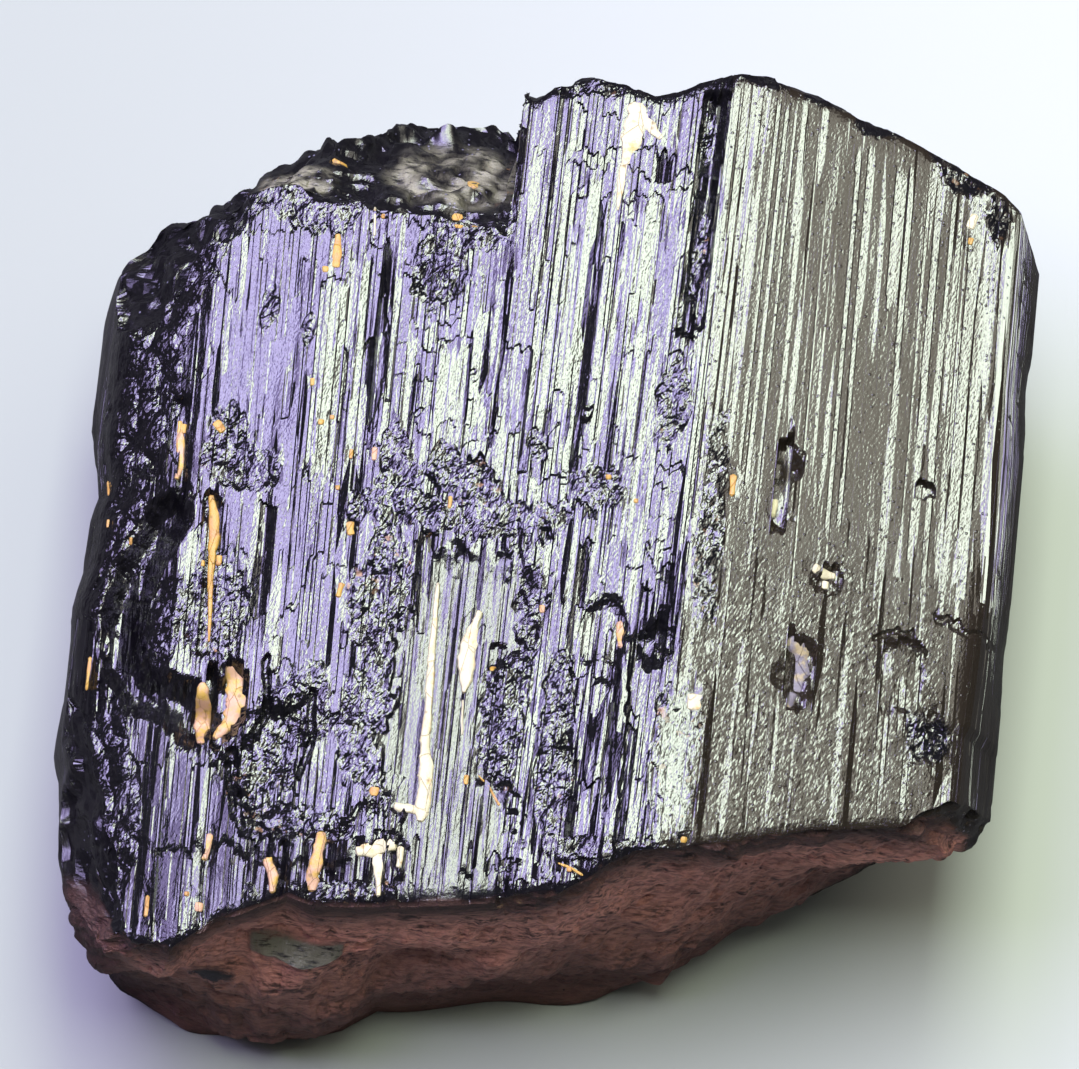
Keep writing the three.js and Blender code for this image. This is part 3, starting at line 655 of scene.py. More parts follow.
@dataclass(frozen=True)
class Striation:
    """The laths, steps, strips and etched patches that the face's look comes from, in mm."""

    lean_left: float = -0.035
    lean_crest: float = 0.02
    lean_right: float = -0.008
    lean_zone: tuple[float, float] = (-39.5, 26.0)
    crest: float = 13.5
    margin: float = -34.2
    coarse: Order = Order(1.4, 15.0, 0.1, 11.0)
    blocky_length: float = 2.6
    fine: Order = Order(0.55, 11.0, 0.04, 12.0)
    gap: float = 0.04
    taper: float = 1.6
    foil_size: float = 1.7
    foil_tilt: float = 0.2
    ridge_orders: tuple[Order, ...] = (Order(3.7, 26, 0.75, 1), Order(1.9, 14, 0.4, 2))
    ridge_share: float = 0.12
    smooth_patch: Patch = Patch(-26.5, 9, 6, 13)
    strips: tuple[Strip, ...] = strips(
        (-5.6, -2.9, 14, 42, Facing.ALONG), (-2.1, -1.3, 4, 33), (0.2, 1.5, 2, 33),
        (1.6, 2.3, 0, 30, Facing.STEEP), (2.4, 3.5, 6, 42), (3.7, 5.1, 2, 27, Facing.ALONG),
        (5.7, 7.3, 4, 30), (7.4, 9.5, -6, 31, Facing.ALONG), (9.9, 10.3, 20, 39),
        (10.6, 11.3, 17, 44, Facing.STEEP), (11.3, 11.5, 24, 43, Facing.ALONG),
        (11.5, 12.3, 22, 44, Facing.STEEP),
        (12.5, 13.4, -14, 42), (13.55, 14.25, -8, 43), (14.4, 14.9, 4, 43),
        (15.1, 15.6, -14, 42), (17.2, 17.6, 4, 41), (18.1, 18.55, 2, 41),
        (19.1, 19.45, -6, 41), (20.5, 20.8, 6, 40), (21.9, 22.2, 8, 39),
        (23.3, 23.6, -6, 33), (26.0, 26.5, -2, 38), (27.1, 27.6, -1, 38),
        (31.3, 31.85, -4, 37), (33.2, 33.5, -1, 36), (34.0, 34.65, -3, 36),
        (35.5, 36.0, -6, 35), (36.7, 37.0, -2, 33), (37.5, 38.6, 1, 31),
        (38.75, 39.8, -2, 27), (39.95, 41.1, 3, 25), (24.7, 25.1, -33, -20),
        (28.9, 29.3, -31, -16), (35.3, 35.8, -30, -20), (33.2, 33.6, -28, -16),
        (34.4, 35.0, -20, -13), (21.0, 21.4, -34, -16), (17.4, 17.7, -30, -4),
        (-23.4, -20.6, 0, 20), (-19.8, -18.8, -4, 22), (-11.8, -8.8, 1.5, 14.6),
        (-8.2, -6.2, 5, 18), (-14.8, -13.9, 2, 16), (-16.6, -15.9, 8, 27),
        (-33.2, -24.4, -3, 24, Facing.ALONG), (-22.2, -18.4, -21, -8, Facing.ALONG),
        (8.1, 9.3, -36, -13, Facing.ALONG), (4.4, 5.2, -36, -24, Facing.ALONG),
        (6.2, 6.9, -17, -10, Facing.ALONG), (3.6, 6.1, -17, -10),
        (-12.0, -11.3, -34, -12, Facing.DIM), (-10.4, -9.9, -30, -6, Facing.DIM),
        (-8.8, -8.2, -40, -6, Facing.ALONG), (-8.1, -7.5, -40, -6, Facing.DIM), (-7.4, -6.9, -40, -6),
        (-6.8, -6.2, -40, -12), (-6.1, -5.8, -40, -12, Facing.STEEP),
        (-5.6, -4.7, -40, -13, Facing.ALONG), (-4.6, -3.9, -40, -13, Facing.DIM),
        (-3.5, -2.2, -40, -6, Facing.ALONG),
        (-36.2, -34.4, -46, -24, Facing.DUSK), (-34.1, -31.6, -46, -27, Facing.DUSK),
        (-31.4, -29.8, -44, -28, Facing.ALONG), (-29.6, -26.9, -44, -29, Facing.DUSK),
        (-24.6, -22.4, -41, -34, Facing.DUSK), (-20.0, -17.8, -41, -34, Facing.DUSK),
    )
    etched_patches: tuple[Patch, ...] = patches(
        (-30.2, -13.0, 4.3, 6.0), (-23.7, -26.8, 3.6, 5.6), (-15.3, -22.9, 2.4, 8.2),
        (-14.6, -11.2, 3.2, 8.5), (-1.6, -17.0, 2.5, 12.5), (-8.6, -2.4, 9.6, 2.4),
        (-8.6, 1.5, 4.2, 3.2), (-12.9, 21.2, 3.0, 5.0), (-40.0, 6.0, 4.0, 7.5),
        (-39.0, -32.0, 3.2, 9.0), (-35.9, -35.0, 1.1, 6.5), (2.9, -24.8, 2.0, 11.5),
        (14.2, -24.0, 2.2, 9.0), (15.2, -2.0, 1.5, 9.5), (-25.1, 26.5, 4.5, 2.4),
        (-10.2, 26.0, 4.6, 3.4), (-31.0, 2.4, 2.6, 3.8), (-14.6, 1.4, 2.0, 5.0),
        (10.8, 9.6, 1.7, 5.0), (37.8, -19.3, 2.6, 3.2), (-34.6, -14.5, 2.0, 5.0),
        (-19.5, -33.2, 6.0, 1.6), (-1.8, 4.6, 1.5, 2.5), (4.5, 1.4, 2.6, 1.8),
        (27.9, 39.9, 3.0, 1.4), (33.3, 38.4, 1.2, 1.7), (36.6, 35.9, 2.8, 1.8),
        (39.8, 32.4, 1.2, 2.6), (16.8, 43.2, 3.2, 1.4), (22.6, 41.8, 2.4, 0.9),
        (-41.0, 16.0, 3.0, 7.0), (-41.0, -8.0, 3.4, 8.0), (-13.6, -26.5, 2.0, 6.0),
        (-20.8, -22.0, 2.6, 5.0), (-10.0, -39.2, 14.0, 1.2), (-3.2, -23.0, 1.6, 9.0),
        (-36.0, 21.0, 3.0, 4.0), (-24.0, 31.5, 5.0, 2.0), (10.0, -33.4, 8.0, 1.2),
        (-38.4, 12.0, 2.6, 8.0), (-38.8, -5.0, 2.6, 5.0), (-42.0, 14.0, 2.2, 13.0),
        (-42.2, -8.0, 2.0, 9.0), (-36.5, 16.0, 1.6, 3.0), (-40.5, 23.0, 3.0, 3.0),
        (-1.5, 40.8, 5.0, 1.5), (-31.6, 28.6, 3.4, 3.0), (-34.6, 23.5, 2.0, 5.0),
        (-28.4, 16.5, 0.9, 2.6), (-24.4, 14.6, 0.8, 1.8), (-28.0, 0.4, 2.2, 2.2),
        (11.5, 36.5, 0.8, 3.0), (11.8, 25.0, 0.8, 5.0),
    )
    blocky_patches: tuple[Patch, ...] = patches(
        (9.5, 12.0, 3.2, 6.5), (3.0, 3.0, 6.0, 5.5), (4.5, 32.0, 7.5, 3.0),
        (-10.0, 8.0, 5.0, 5.0), (-15.0, 24.0, 6.0, 4.5), (-21.0, -16.0, 4.0, 6.0),
        (11.5, -2.0, 3.0, 6.0),
    )
    dark_patches: tuple[Patch, ...] = patches(
        (5.0, -27.0, 5.5, 11.0), (-12.0, -38.0, 14.0, 4.5),
        (11.8, 28.0, 1.2, 12.0), (11.8, -10.0, 2.6, 5.0), (-17.5, 14.0, 1.0, 10.0),
        (-6.6, 20.0, 1.2, 16.0), (-2.0, -3.0, 3.0, 3.0),
    )
    # Where white laths gather: x, y, the two half widths and the share that each region adds
    white_least: float = 0.06
    white_regions: tuple[tuple[float, ...], ...] = (
        (3.0, 12.0, 8.5, 28.0, 0.36), (-13.0, 6.0, 8.0, 15.0, 0.26), (5.0, -26.0, 7.0, 12.0, 0.22),
    )
    # Where the right facet shines: from x, to x and the share that each band adds
    sheen_bands: tuple[tuple[float, float, float], ...] = ((29.0, 33.0, 0.2), (36.6, 37.8, 0.45))
    crest_sheen: float = 0.34
    right_share: float = 0.06
    flare_needles: float = 0.95
    margin_dark: float = 0.5
    furrow_fall: float = 0.45
    gap_width: float = 0.16
    strip_gap: float = 0.03
    rim_width: float = 0.14
    etched_away: float = 0.8
    flare: Patch = Patch(14.4, -23.5, 2.6, 8.5)
    dash_patch: Patch = Patch(26.5, -20, 16, 20)

    def across(self, x: Field, y: Field) -> Field:
        """Where a place falls across the slightly leaning striation."""
        return x - y * self.lean(x)

    def lean(self, x: Field) -> Field:
        """How far the striation leans to the right for each mm up the face."""
        lean = mix(self.lean_left, self.lean_crest, smooth(self.lean_zone[0], self.crest, x))
        return mix(lean, self.lean_right, smooth(self.crest, self.lean_zone[1], x))

    def etched(self, x: Field, y: Field) -> Field:
        """How deeply each place of the face is etched, with a ragged edge.

        Args:
            x, y: Places on the face.

        Returns:
            The share, from 0 to 1.
        """
        wobble = (0.3 * lumps(x * 0.45, y * 0.3, 5.2) + 0.2 * lumps(x * 1.3, y * 0.6, 6.1)
                  + 0.16 * lumps(x * 2.9, y * 1.1, 7.3))
        return smooth(0.25, 0.75, largest(self.etched_patches, x, y, wobble))

    def most(self, shapes: tuple[Patch, ...], x: Field, y: Field) -> Field:
        """The largest share of several soft patches at each place, with one uneven edge for all."""
        return largest(shapes, x, y, 0.25 * lumps(x * 0.5, y * 0.3, 9.4))

    def white_share(self, x: Field, y: Field) -> Field:
        """The share of laths that lie level and so shine white, by region of the left facet.

        Args:
            x, y: Places on the face.

        Returns:
            The share, from 0 to 1: a little everywhere, and more in three bell-shaped regions.
        """
        share = self.white_least
        for px, py, rx, ry, most in self.white_regions:
            share = share + most * np.exp(-((x - px) / rx) ** 2 - ((y - py) / ry) ** 2)
        return share

    def lath_slope(self, x: Field, y: Field, pick: Field) -> Field:
        """How far a coarse lath is turned from the facet it lies on.

        Args:
            x, y: The lath's place.
            pick: The lath's own scattered value, from -1 to 1.

        Returns:
            Its turn, as a slope towards level.
        """
        right = x > self.crest
        white = np.where(right, 0.03, self.white_share(x, y))
        slope = np.where(pick < 2.0 * white - 1.0, Facing.LEVEL.value, 0.0)
        edge = np.where(pick < -0.6, 0.27, np.where(pick < -0.54, 0.41, 0.0))
        return np.where(x < self.margin, edge, slope)

    def relief(self, x: Field, y: Field, across: Field, floor: Field) -> Field:
        """The striation's relief: laths with steps and turned faces, crumpled where the face is etched.

        Each lath of the coarse order is level, along the facet or sunk as a dark furrow, and the drawn
        strips take its place where they lie. Finer laths step it up and down, furrows run between the
        laths, and a crumpled foil stands in for all of it on etched patches. The finish adds the needles.

        Args:
            x, y: Places on the face.
            across: Where they fall across the striation.
            floor: 1 on the floor of the recess, where only fine ridges are left.

        Returns:
            The height to add at each place.
        """
        etched = self.etched(x, y)
        right = x > self.crest
        side = np.where(right, 1.0, -1.0)
        ragged = y + 0.9 * lumps(across * 2.2, y * 0.5, 3.3) + 0.35 * lumps(across * 5.0, y * 1.6, 4.4)
        calm = 1.0 - 0.5 * self.smooth_patch.share(x, y, 0.0)
        quiet = np.where(right, 0.07, calm) * (1.0 - 0.6 * floor)
        blocky = (self.most(self.blocky_patches, x, ragged) > 0.5) & ~right

        first, place, wide = cells(across, self.coarse.width, self.coarse.seed)
        length = np.where(blocky, self.blocky_length, self.coarse.length)
        row = np.floor(ragged / length + 3.0 * scatter(first, 5.0, self.coarse.seed))
        step = self.coarse.height * scatter(first, row, 0.7) * quiet * np.where(blocky, 1.1, 1.0)
        middle = x - place + wide / 2.0
        pick = scatter(first, row, 0.3)
        reach = ragged / length + 3.0 * scatter(first, 5.0, self.coarse.seed) - row
        to_end = np.minimum(reach, 1.0 - reach) * length
        tapered = smooth(0.0, self.taper, to_end + np.where(right, 0.0, 1.0))
        slope = self.lath_slope(middle, ragged, pick) * tapered * (1.0 - floor)
        dark = np.where(right, 0.0, 0.05 + 0.45 * self.most(self.dark_patches, middle, ragged))
        sunk = pick > 1.0 - 2.0 * dark
        place = place - wide / 2.0
        edge = wide / 2.0 - np.abs(place)
        furrow = -self.furrow_fall * np.maximum(0.0, edge) * sunk
        border = np.where(place < 0.0, first, first + 1.0)
        open_gap = scatter(border, np.floor(ragged / 9.0 + 3.0 * scatter(border, 7.0, 2.0)), 6.6)
        gap = -self.gap * (1.0 - smooth(0.0, self.gap_width, edge)) * smooth(0.0, 0.9, open_gap) * quiet
        for number, strip in enumerate(self.strips):
            inside = (across > strip.left) & (across < strip.right)
            inside = inside & (ragged > strip.low) & (ragged < strip.high)
            away = across - (strip.left + strip.right) / 2.0
            place = np.where(inside, away, place)
            ends = smooth(0.0, self.taper, np.minimum(ragged - strip.low, strip.high - ragged))
            slope = np.where(inside, strip.facing.value * ends - Facing.LEVEL.value * floor, slope)
            step = np.where(inside, np.where(right, 0.01, 0.05) * scatter(number, 1.0, 8.8), step)
            furrow = np.where(inside, 0.0, furrow)
            rim = (strip.right - strip.left) / 2 - np.abs(away)
            edge_gap = np.where(right, 0.0, -self.strip_gap) * (1.0 - smooth(0.0, self.rim_width, rim))
            gap = np.where(inside, edge_gap, gap)

        order = self.fine
        first, _, _ = cells(across, order.width, order.seed)
        row = np.floor(ragged / order.length + 3.0 * scatter(first, 5.0, order.seed))
        fine_step = order.height * scatter(first, row, 0.9) * quiet
        laths = step + fine_step + furrow + gap + side * slope * place
        flare = self.flare_share(x, y)
        laths = laths + flare * np.where(right, Facing.LEVEL.value, -Facing.LEVEL.value) * (x - self.flare.x)
        crumpled = self.crumple(x, y) * np.where(right, 0.45, 1.0) * (1.0 - 0.8 * flare)
        laths = laths * (1.0 - self.etched_away * etched) * (1.0 - 0.25 * floor)
        return laths + crumpled * etched * (1.0 - floor)

    def flare_share(self, x: Field, y: Field) -> Field:
        """1 on the bright worn patch beside the white chip, and 0 outside it."""
        return self.flare.share(x, y, 0.3 * lumps(x * 0.8, y * 0.4, 6.2))

    def crumple(self, x: Field, y: Field) -> Field:
        """The etched ground: large foil flakes, slanted and a little longer up the face."""
        tilt = self.foil_tilt * mix(1.9, 1.0, smooth(-38.0, -34.5, x))
        return foil(x * 0.94 - y * 0.34, (y * 0.94 + x * 0.34) * 0.75, self.foil_size, tilt, 1.5) - 0.05

    def needle_shares(self, x: Field, y: Field, floor: Field) -> tuple[Field, Field]:
        """How many of the finest needles are turned to shine white, and how many are sunk dark, by place.

        Args:
            x, y: Places on the face.
            floor: 1 on the floor of the recess.

        Returns:
            The two shares, from 0 to 1.
        """
        right = x > self.crest
        band = sum(most * smooth(low, high, x) for low, high, most in self.sheen_bands)
        crest_band = self.crest_sheen * (1.0 - smooth(15.0, 20.0, x)) * smooth(-16.0, -2.0, y)
        white_right = self.right_share + crest_band + band * smooth(-9.0, -1.0, y)
        calm = 1.0 - 0.3 * self.smooth_patch.share(x, y, 0.0)
        white_left = (0.02 + 0.5 * self.white_share(x, y)) * calm
        white = mix(np.where(right, white_right, white_left), 0.25, floor)
        white = np.maximum(white, self.flare_needles * self.flare_share(x, y))
        dark = (0.05 + 0.42 * self.most(self.dark_patches, x, y)) * mix(1.0, calm, 0.8)
        margin = self.margin_dark * (1.0 - smooth(-38.5, -35.5, x)) * smooth(-30.0, -20.0, y)
        ticked = 0.01 + 0.03 * self.dash_patch.share(x, y, 0.3 * lumps(x * 1.1, y * 0.3, 4.6))
        return white, mix(np.where(right, ticked, dark + margin), 0.05, floor)

    def broad(self, x: Field, y: Field, across: Field) -> Field:
        """The broad ridges that the solid has too, kept low so that the strips keep their facing.

        Args:
            x, y: Places on the face.
            across: Where they fall across the striation.

        Returns:
            The height to add at each place.
        """
        strength = mix(1.0, 0.15, smooth(self.crest, self.crest + 3.0, x))
        strength = strength * (1.0 - 0.55 * self.smooth_patch.share(x, y, 0.0))
        total = sum(order.height * ridges(across, y, order) for order in self.ridge_orders)
        return self.ridge_share * total * strength


# Meshes from arrays

def mesh_from_arrays(name: str, points: np.ndarray, triangles: np.ndarray) -> bpy.types.Mesh:
    """A mesh from whole arrays of points in mm and triangles.

    Args:
        name: The mesh's name.
        points: One row of x, y and z for each point, in mm.
        triangles: One row of three point numbers for each triangle.

    Returns:
        The mesh, in metres.
    """
    mesh = bpy.data.meshes.new(name)
    mesh.vertices.add(len(points))
    mesh.vertices.foreach_set("co", (points * MM).astype(np.float32).ravel())
    mesh.loops.add(triangles.size)
    mesh.loops.foreach_set("vertex_index", triangles.astype(np.int32).ravel())
    mesh.polygons.add(len(triangles))
    mesh.polygons.foreach_set("loop_start", np.arange(0, triangles.size, 3, dtype=np.int32))
    mesh.update(calc_edges=True)
    mesh.validate()
    return mesh


def triangles_of(quads: np.ndarray) -> np.ndarray:
    """Two triangles for each row of four point numbers."""
    return np.concatenate([quads[:, [0, 1, 2]], quads[:, [0, 2, 3]]])


def paint(mesh: bpy.types.Mesh, name: str, values: np.ndarray) -> None:
    """Writes one value for each point of a mesh as an attribute that a material can read."""
    attribute = mesh.attributes.new(name, "FLOAT", "POINT")
    attribute.data.foreach_set("value", values.astype(np.float32))


def place_object(mesh: bpy.types.Mesh, material: bpy.types.Material) -> bpy.types.Object:
    """Makes an object of a mesh at the origin, riding on the part.

    Args:
        mesh: The mesh, which gives the object its name.
        material: Its finish.

    Returns:
        The new object.
    """
    mesh.materials.append(material)
    thing = bpy.data.objects.new(mesh.name, mesh)
    bpy.context.scene.collection.objects.link(thing)
    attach(thing, "root")
    return thing


# Shader building

class Number:
    """A number in a node tree: arithmetic on it adds the maths nodes that work it out."""

    def __init__(self, shader: "Shader", socket: bpy.types.NodeSocket) -> None:
        """Keeps the shader builder and the socket that gives the number."""
        self.shader = shader
        self.socket = socket

    def __add__(self, other: "Value") -> "Number":
        """This number and another one."""
        return self.shader.maths("ADD", self, other)

    def __sub__(self, other: "Value") -> "Number":
        """This number less another one."""
        return self.shader.maths("SUBTRACT", self, other)

    def __rsub__(self, other: float) -> "Number":
        """A plain number less this one."""
        return self.shader.maths("SUBTRACT", other, self)

    def __mul__(self, other: "Value") -> "Number":
        """This number times another one."""
        return self.shader.maths("MULTIPLY", self, other)

    def __truediv__(self, other: "Value") -> "Number":
        """This number divided by another one."""
        return self.shader.maths("DIVIDE", self, other)

    def __lt__(self, other: "Value") -> "Number":
        """1 where this number is below another one, else 0."""
        return self.shader.maths("LESS_THAN", self, other)

    def __gt__(self, other: "Value") -> "Number":
        """1 where this number is above another one, else 0."""
        return self.shader.maths("GREATER_THAN", self, other)

    def greatest(self, other: "Value") -> "Number":
        """The greater of this number and another one."""
        return self.shader.maths("MAXIMUM", self, other)


Value = Number | bpy.types.NodeSocket | float
Input = Value | tuple[float, ...]


class Shader:
    """A material's node tree, with short ways to add and join nodes."""

    def __init__(self, tree: bpy.types.NodeTree) -> None:
        """Keeps the tree that nodes are added to."""
        self.tree = tree

    def add(self, kind: str, **inputs: Input) -> bpy.types.Node:
        """Adds a node and sets or joins its inputs.

        Args:
            kind: The node's type, without its ShaderNode prefix.
            **inputs: What goes into each input, by the input's name with _ for a space.

        Returns:
            The new node.
        """
        node = self.tree.nodes.new("ShaderNode" + kind)
        for name, value in inputs.items():
            self.feed(node, name.replace("_", " "), value)
        return node

    def feed(self, node: bpy.types.Node, name: str | int, value: Input) -> None:
        """Joins a socket to a node's input, or sets the input's own value.

        Args:
            node: The node.
            name: The input's name or number.
            value: A socket or number of this tree, or a plain value.
        """
        if isinstance(value, Number):
            value = value.socket
        if isinstance(value, bpy.types.NodeSocket):
            self.tree.links.new(value, node.inputs[name])
        else:
            node.inputs[name].default_value = value

    def maths(self, operation: str, first: Value, second: Value) -> Number:
        """One step of arithmetic on two numbers.

        Args:
            operation: The maths node's operation.
            first, second: The two numbers.

        Returns:
            The result.
        """
        node = self.tree.nodes.new("ShaderNodeMath")
        node.operation = operation
        self.feed(node, 0, first)
        self.feed(node, 1, second)
        return Number(self, node.outputs[0])

    def step(self, value: Value, low: float, high: float) -> Number:
        """A smooth step from 0 at low to 1 at high.

        Args:
            value: The value.
            low, high: Where the step starts and ends.

        Returns:
            The share, from 0 to 1.
        """
        node = self.add("MapRange", Value=value, From_Min=low, From_Max=high)
        node.interpolation_type = "SMOOTHSTEP"
        return Number(self, node.outputs[0])

    def range(self, value: Value, low: float, high: float) -> Number:
        """A value from 0 to 1 carried to the range from low to high."""
        return Number(self, self.add("MapRange", Value=value, To_Min=low, To_Max=high).outputs[0])

    def blend(self, share: Value, first: Input, second: Input) -> bpy.types.NodeSocket:
        """A colour between two others.

        Args:
            share: How much of the second colour is in it, from 0 to 1.
            first, second: The two colours.

        Returns:
            The colour.
        """
        node = self.tree.nodes.new("ShaderNodeMix")
        node.data_type = "RGBA"
        for number, value in ((0, share), (6, first), (7, second)):
            self.feed(node, number, value)
        return node.outputs[2]

    def attribute(self, name: str) -> Number:
        """One of the mesh's own painted values.

        Args:
            name: Its name.

        Returns:
            The value.
        """
        node = self.add("Attribute")
        node.attribute_name = name
        return Number(self, node.outputs["Fac"])

    def attributes(self, *names: str) -> tuple[Number, ...]:
        """Several of the mesh's painted values."""
        return tuple(self.attribute(name) for name in names)

    def place(self, scale: tuple[float, ...] = (1, 1, 1), turn: float = 0.0) -> bpy.types.NodeSocket:
        """Object coordinates in millimetres, stretched and then turned about +Z.

        Args:
            scale: How many units a millimetre is along each axis.
            turn: The turn, in degrees.

        Returns:
            The coordinates.
        """
        node = self.add("Mapping", Vector=self.add("TexCoord").outputs["Object"],
                        Scale=tuple(value / MM for value in scale), Rotation=(0.0, 0.0, math.radians(turn)))
        return node.outputs[0]

    def slanted(self, size: tuple[float, ...], turn: float) -> bpy.types.NodeSocket:
        """Object coordinates turned about +Z and then stretched.

        Args:
            size: How long a unit is along each turned axis, in mm.
            turn: The turn, in degrees.

        Returns:
            The coordinates.
        """
        node = self.add("Mapping", Vector=self.add("TexCoord").outputs["Object"],
                        Scale=tuple(value * MM for value in size), Rotation=(0.0, 0.0, math.radians(turn)))
        node.vector_type = "TEXTURE"
        return node.outputs[0]

    def split(self, vector: bpy.types.NodeSocket) -> tuple[Number, ...]:
        """The x, y and z of a vector."""
        return tuple(Number(self, part) for part in self.add("SeparateXYZ", Vector=vector).outputs)

    def axes(self) -> tuple[Number, ...]:
        """The x, y and z of Object coordinates, in mm."""
        return self.split(self.place())

    def turned(self, across: Number, up: Number, degrees: float) -> tuple[Number, Number]:
        """Two ordinates turned about their origin."""
        c, s = math.cos(math.radians(degrees)), math.sin(math.radians(degrees))
        return across * c + up * s, up * c - across * s

    def tiles(self, across: Number, up: Number, width: float, length: Value) -> tuple:
        """Uneven tiles side by side, each with values of its own.

        Args:
            across, up: Places in mm.
            width: A tile's mean width in mm.
            length: Its mean length in mm.

        Returns:
            Three scattered values for each tile, and the way from its middle across and up, in mm.
        """
        u, v = across / width, up / length
        node = self.tree.nodes.new("ShaderNodeTexVoronoi")
        node.voronoi_dimensions = "2D"
        self.feed(node, "Vector", self.add("CombineXYZ", X=u, Y=v).outputs[0])
        self.feed(node, "Scale", 1.0)
        values = self.add("SeparateColor", Color=node.outputs["Color"]).outputs
        middle = self.split(node.outputs["Position"])
        return [Number(self, value) for value in values], (u - middle[0]) * width, (v - middle[1]) * length

    def flakes(self, across: Number, up: Number, width: float, length: float, tilt: float) -> Number:
        """Flat flakes, each tilted its own way and lifted a little.

        Args:
            across, up: Places in mm.
            width, length: A flake's mean size in mm.
            tilt: Its steepest slope across; it is half as steep along.

        Returns:
            The height in mm.
        """
        values, away, above = self.tiles(across, up, width, length)
        rise = self.range(values[0], -tilt, tilt) * away
        climb = self.range(values[1], -tilt / 2, tilt / 2) * above
        return rise + climb + self.range(values[2], -0.2 * tilt * width, 0.2 * tilt * width)

    def stone(self, grains: float, blotches: float, pores: float) -> dict[str, Number]:
        """Places the shared stone group with its own scales.

        Args:
            grains, blotches, pores: How many of each there are to a mm.

        Returns:
            The group's outputs, by name.
        """
        node = self.tree.nodes.new("ShaderNodeGroup")
        node.node_tree = stone_group()
        self.feed(node, "Place", self.place())
        for name, value in (("Grains", grains), ("Blotches", blotches), ("Pores", pores)):
            self.feed(node, name, value)
        return {socket.name: Number(self, socket) for socket in node.outputs}

    def noise(self, place: Input, scale: Value, detail: float = 3.0, rough: float = 0.5) -> Number:
        """Noise values about 0.5 at a place."""
        node = self.add("TexNoise", Vector=place, Scale=scale, Detail=detail, Roughness=rough)
        return Number(self, node.outputs[0])

    def bump(self, height: Number, deep_mm: float,
             normal: bpy.types.NodeSocket | None = None) -> bpy.types.NodeSocket:
        """A normal bent by a height.

        Args:
            height: The height.
            deep_mm: The real depth in mm that one unit of it stands for.
            normal: The normal that is bent, if it isn't the surface's own.

        Returns:
            The normal.
        """
        node = self.add("Bump", Height=height, Distance=deep_mm * MM, Strength=1.0)
        if normal is not None:
            self.feed(node, "Normal", normal)
        return node.outputs[0]


def stone_group() -> bpy.types.ShaderNodeTree:
    """The grain, blotches and pores that every stone finish shares, as one node group, built once.

    Returns:
        The group: its inputs are a place and three scales, and its outputs are values from 0 to 1.
    """
    known = bpy.data.node_groups.get("stone_grain")
    if known:
        return known
    tree = bpy.data.node_groups.new("stone_grain", "ShaderNodeTree")
    tree.interface.new_socket("Place", in_out="INPUT", socket_type="NodeSocketVector")
    for name in ("Grains", "Blotches", "Pores"):
        tree.interface.new_socket(name, in_out="INPUT", socket_type="NodeSocketFloat")
    for name in ("Grain", "Blotch", "Pore"):
        tree.interface.new_socket(name, in_out="OUTPUT", socket_type="NodeSocketFloat")
    shader = Shader(tree)
    given = tree.nodes.new("NodeGroupInput").outputs
    result = tree.nodes.new("NodeGroupOutput")
    shader.feed(result, "Grain", shader.noise(given["Place"], given["Grains"], 6, 0.65))
    shader.feed(result, "Blotch", shader.noise(given["Place"], given["Blotches"], 4, 0.6))
    dots = shader.add("TexVoronoi", Vector=given["Place"], Scale=given["Pores"]).outputs
    chosen = shader.add("SeparateColor", Color=dots["Color"]).outputs[0]
    pore = shader.step(chosen, 0.72, 0.78) * shader.step(dots["Distance"], 0.34, 0.12)
    shader.feed(result, "Pore", pore)
    return tree


def new_material(name: str) -> tuple[bpy.types.Material, Shader, bpy.types.Node]:
    """An empty material with its Principled shader.

    Args:
        name: The material's name.

    Returns:
        The material, its shader builder and its Principled node.
    """
    material = bpy.data.materials.new(name)
    material.use_nodes = True
    material.node_tree.nodes.clear()
    shader = Shader(material.node_tree)
    body = shader.add("BsdfPrincipled")
    output = shader.add("OutputMaterial")
    material.node_tree.links.new(body.outputs[0], output.inputs["Surface"])
    return material, shader, body


@dataclass(frozen=True)
class NeedleSize:
    """The mean width of fine needles, and their mean lengths on the left and on the right facet, in mm."""

    width: float
    left_length: float
    right_length: float


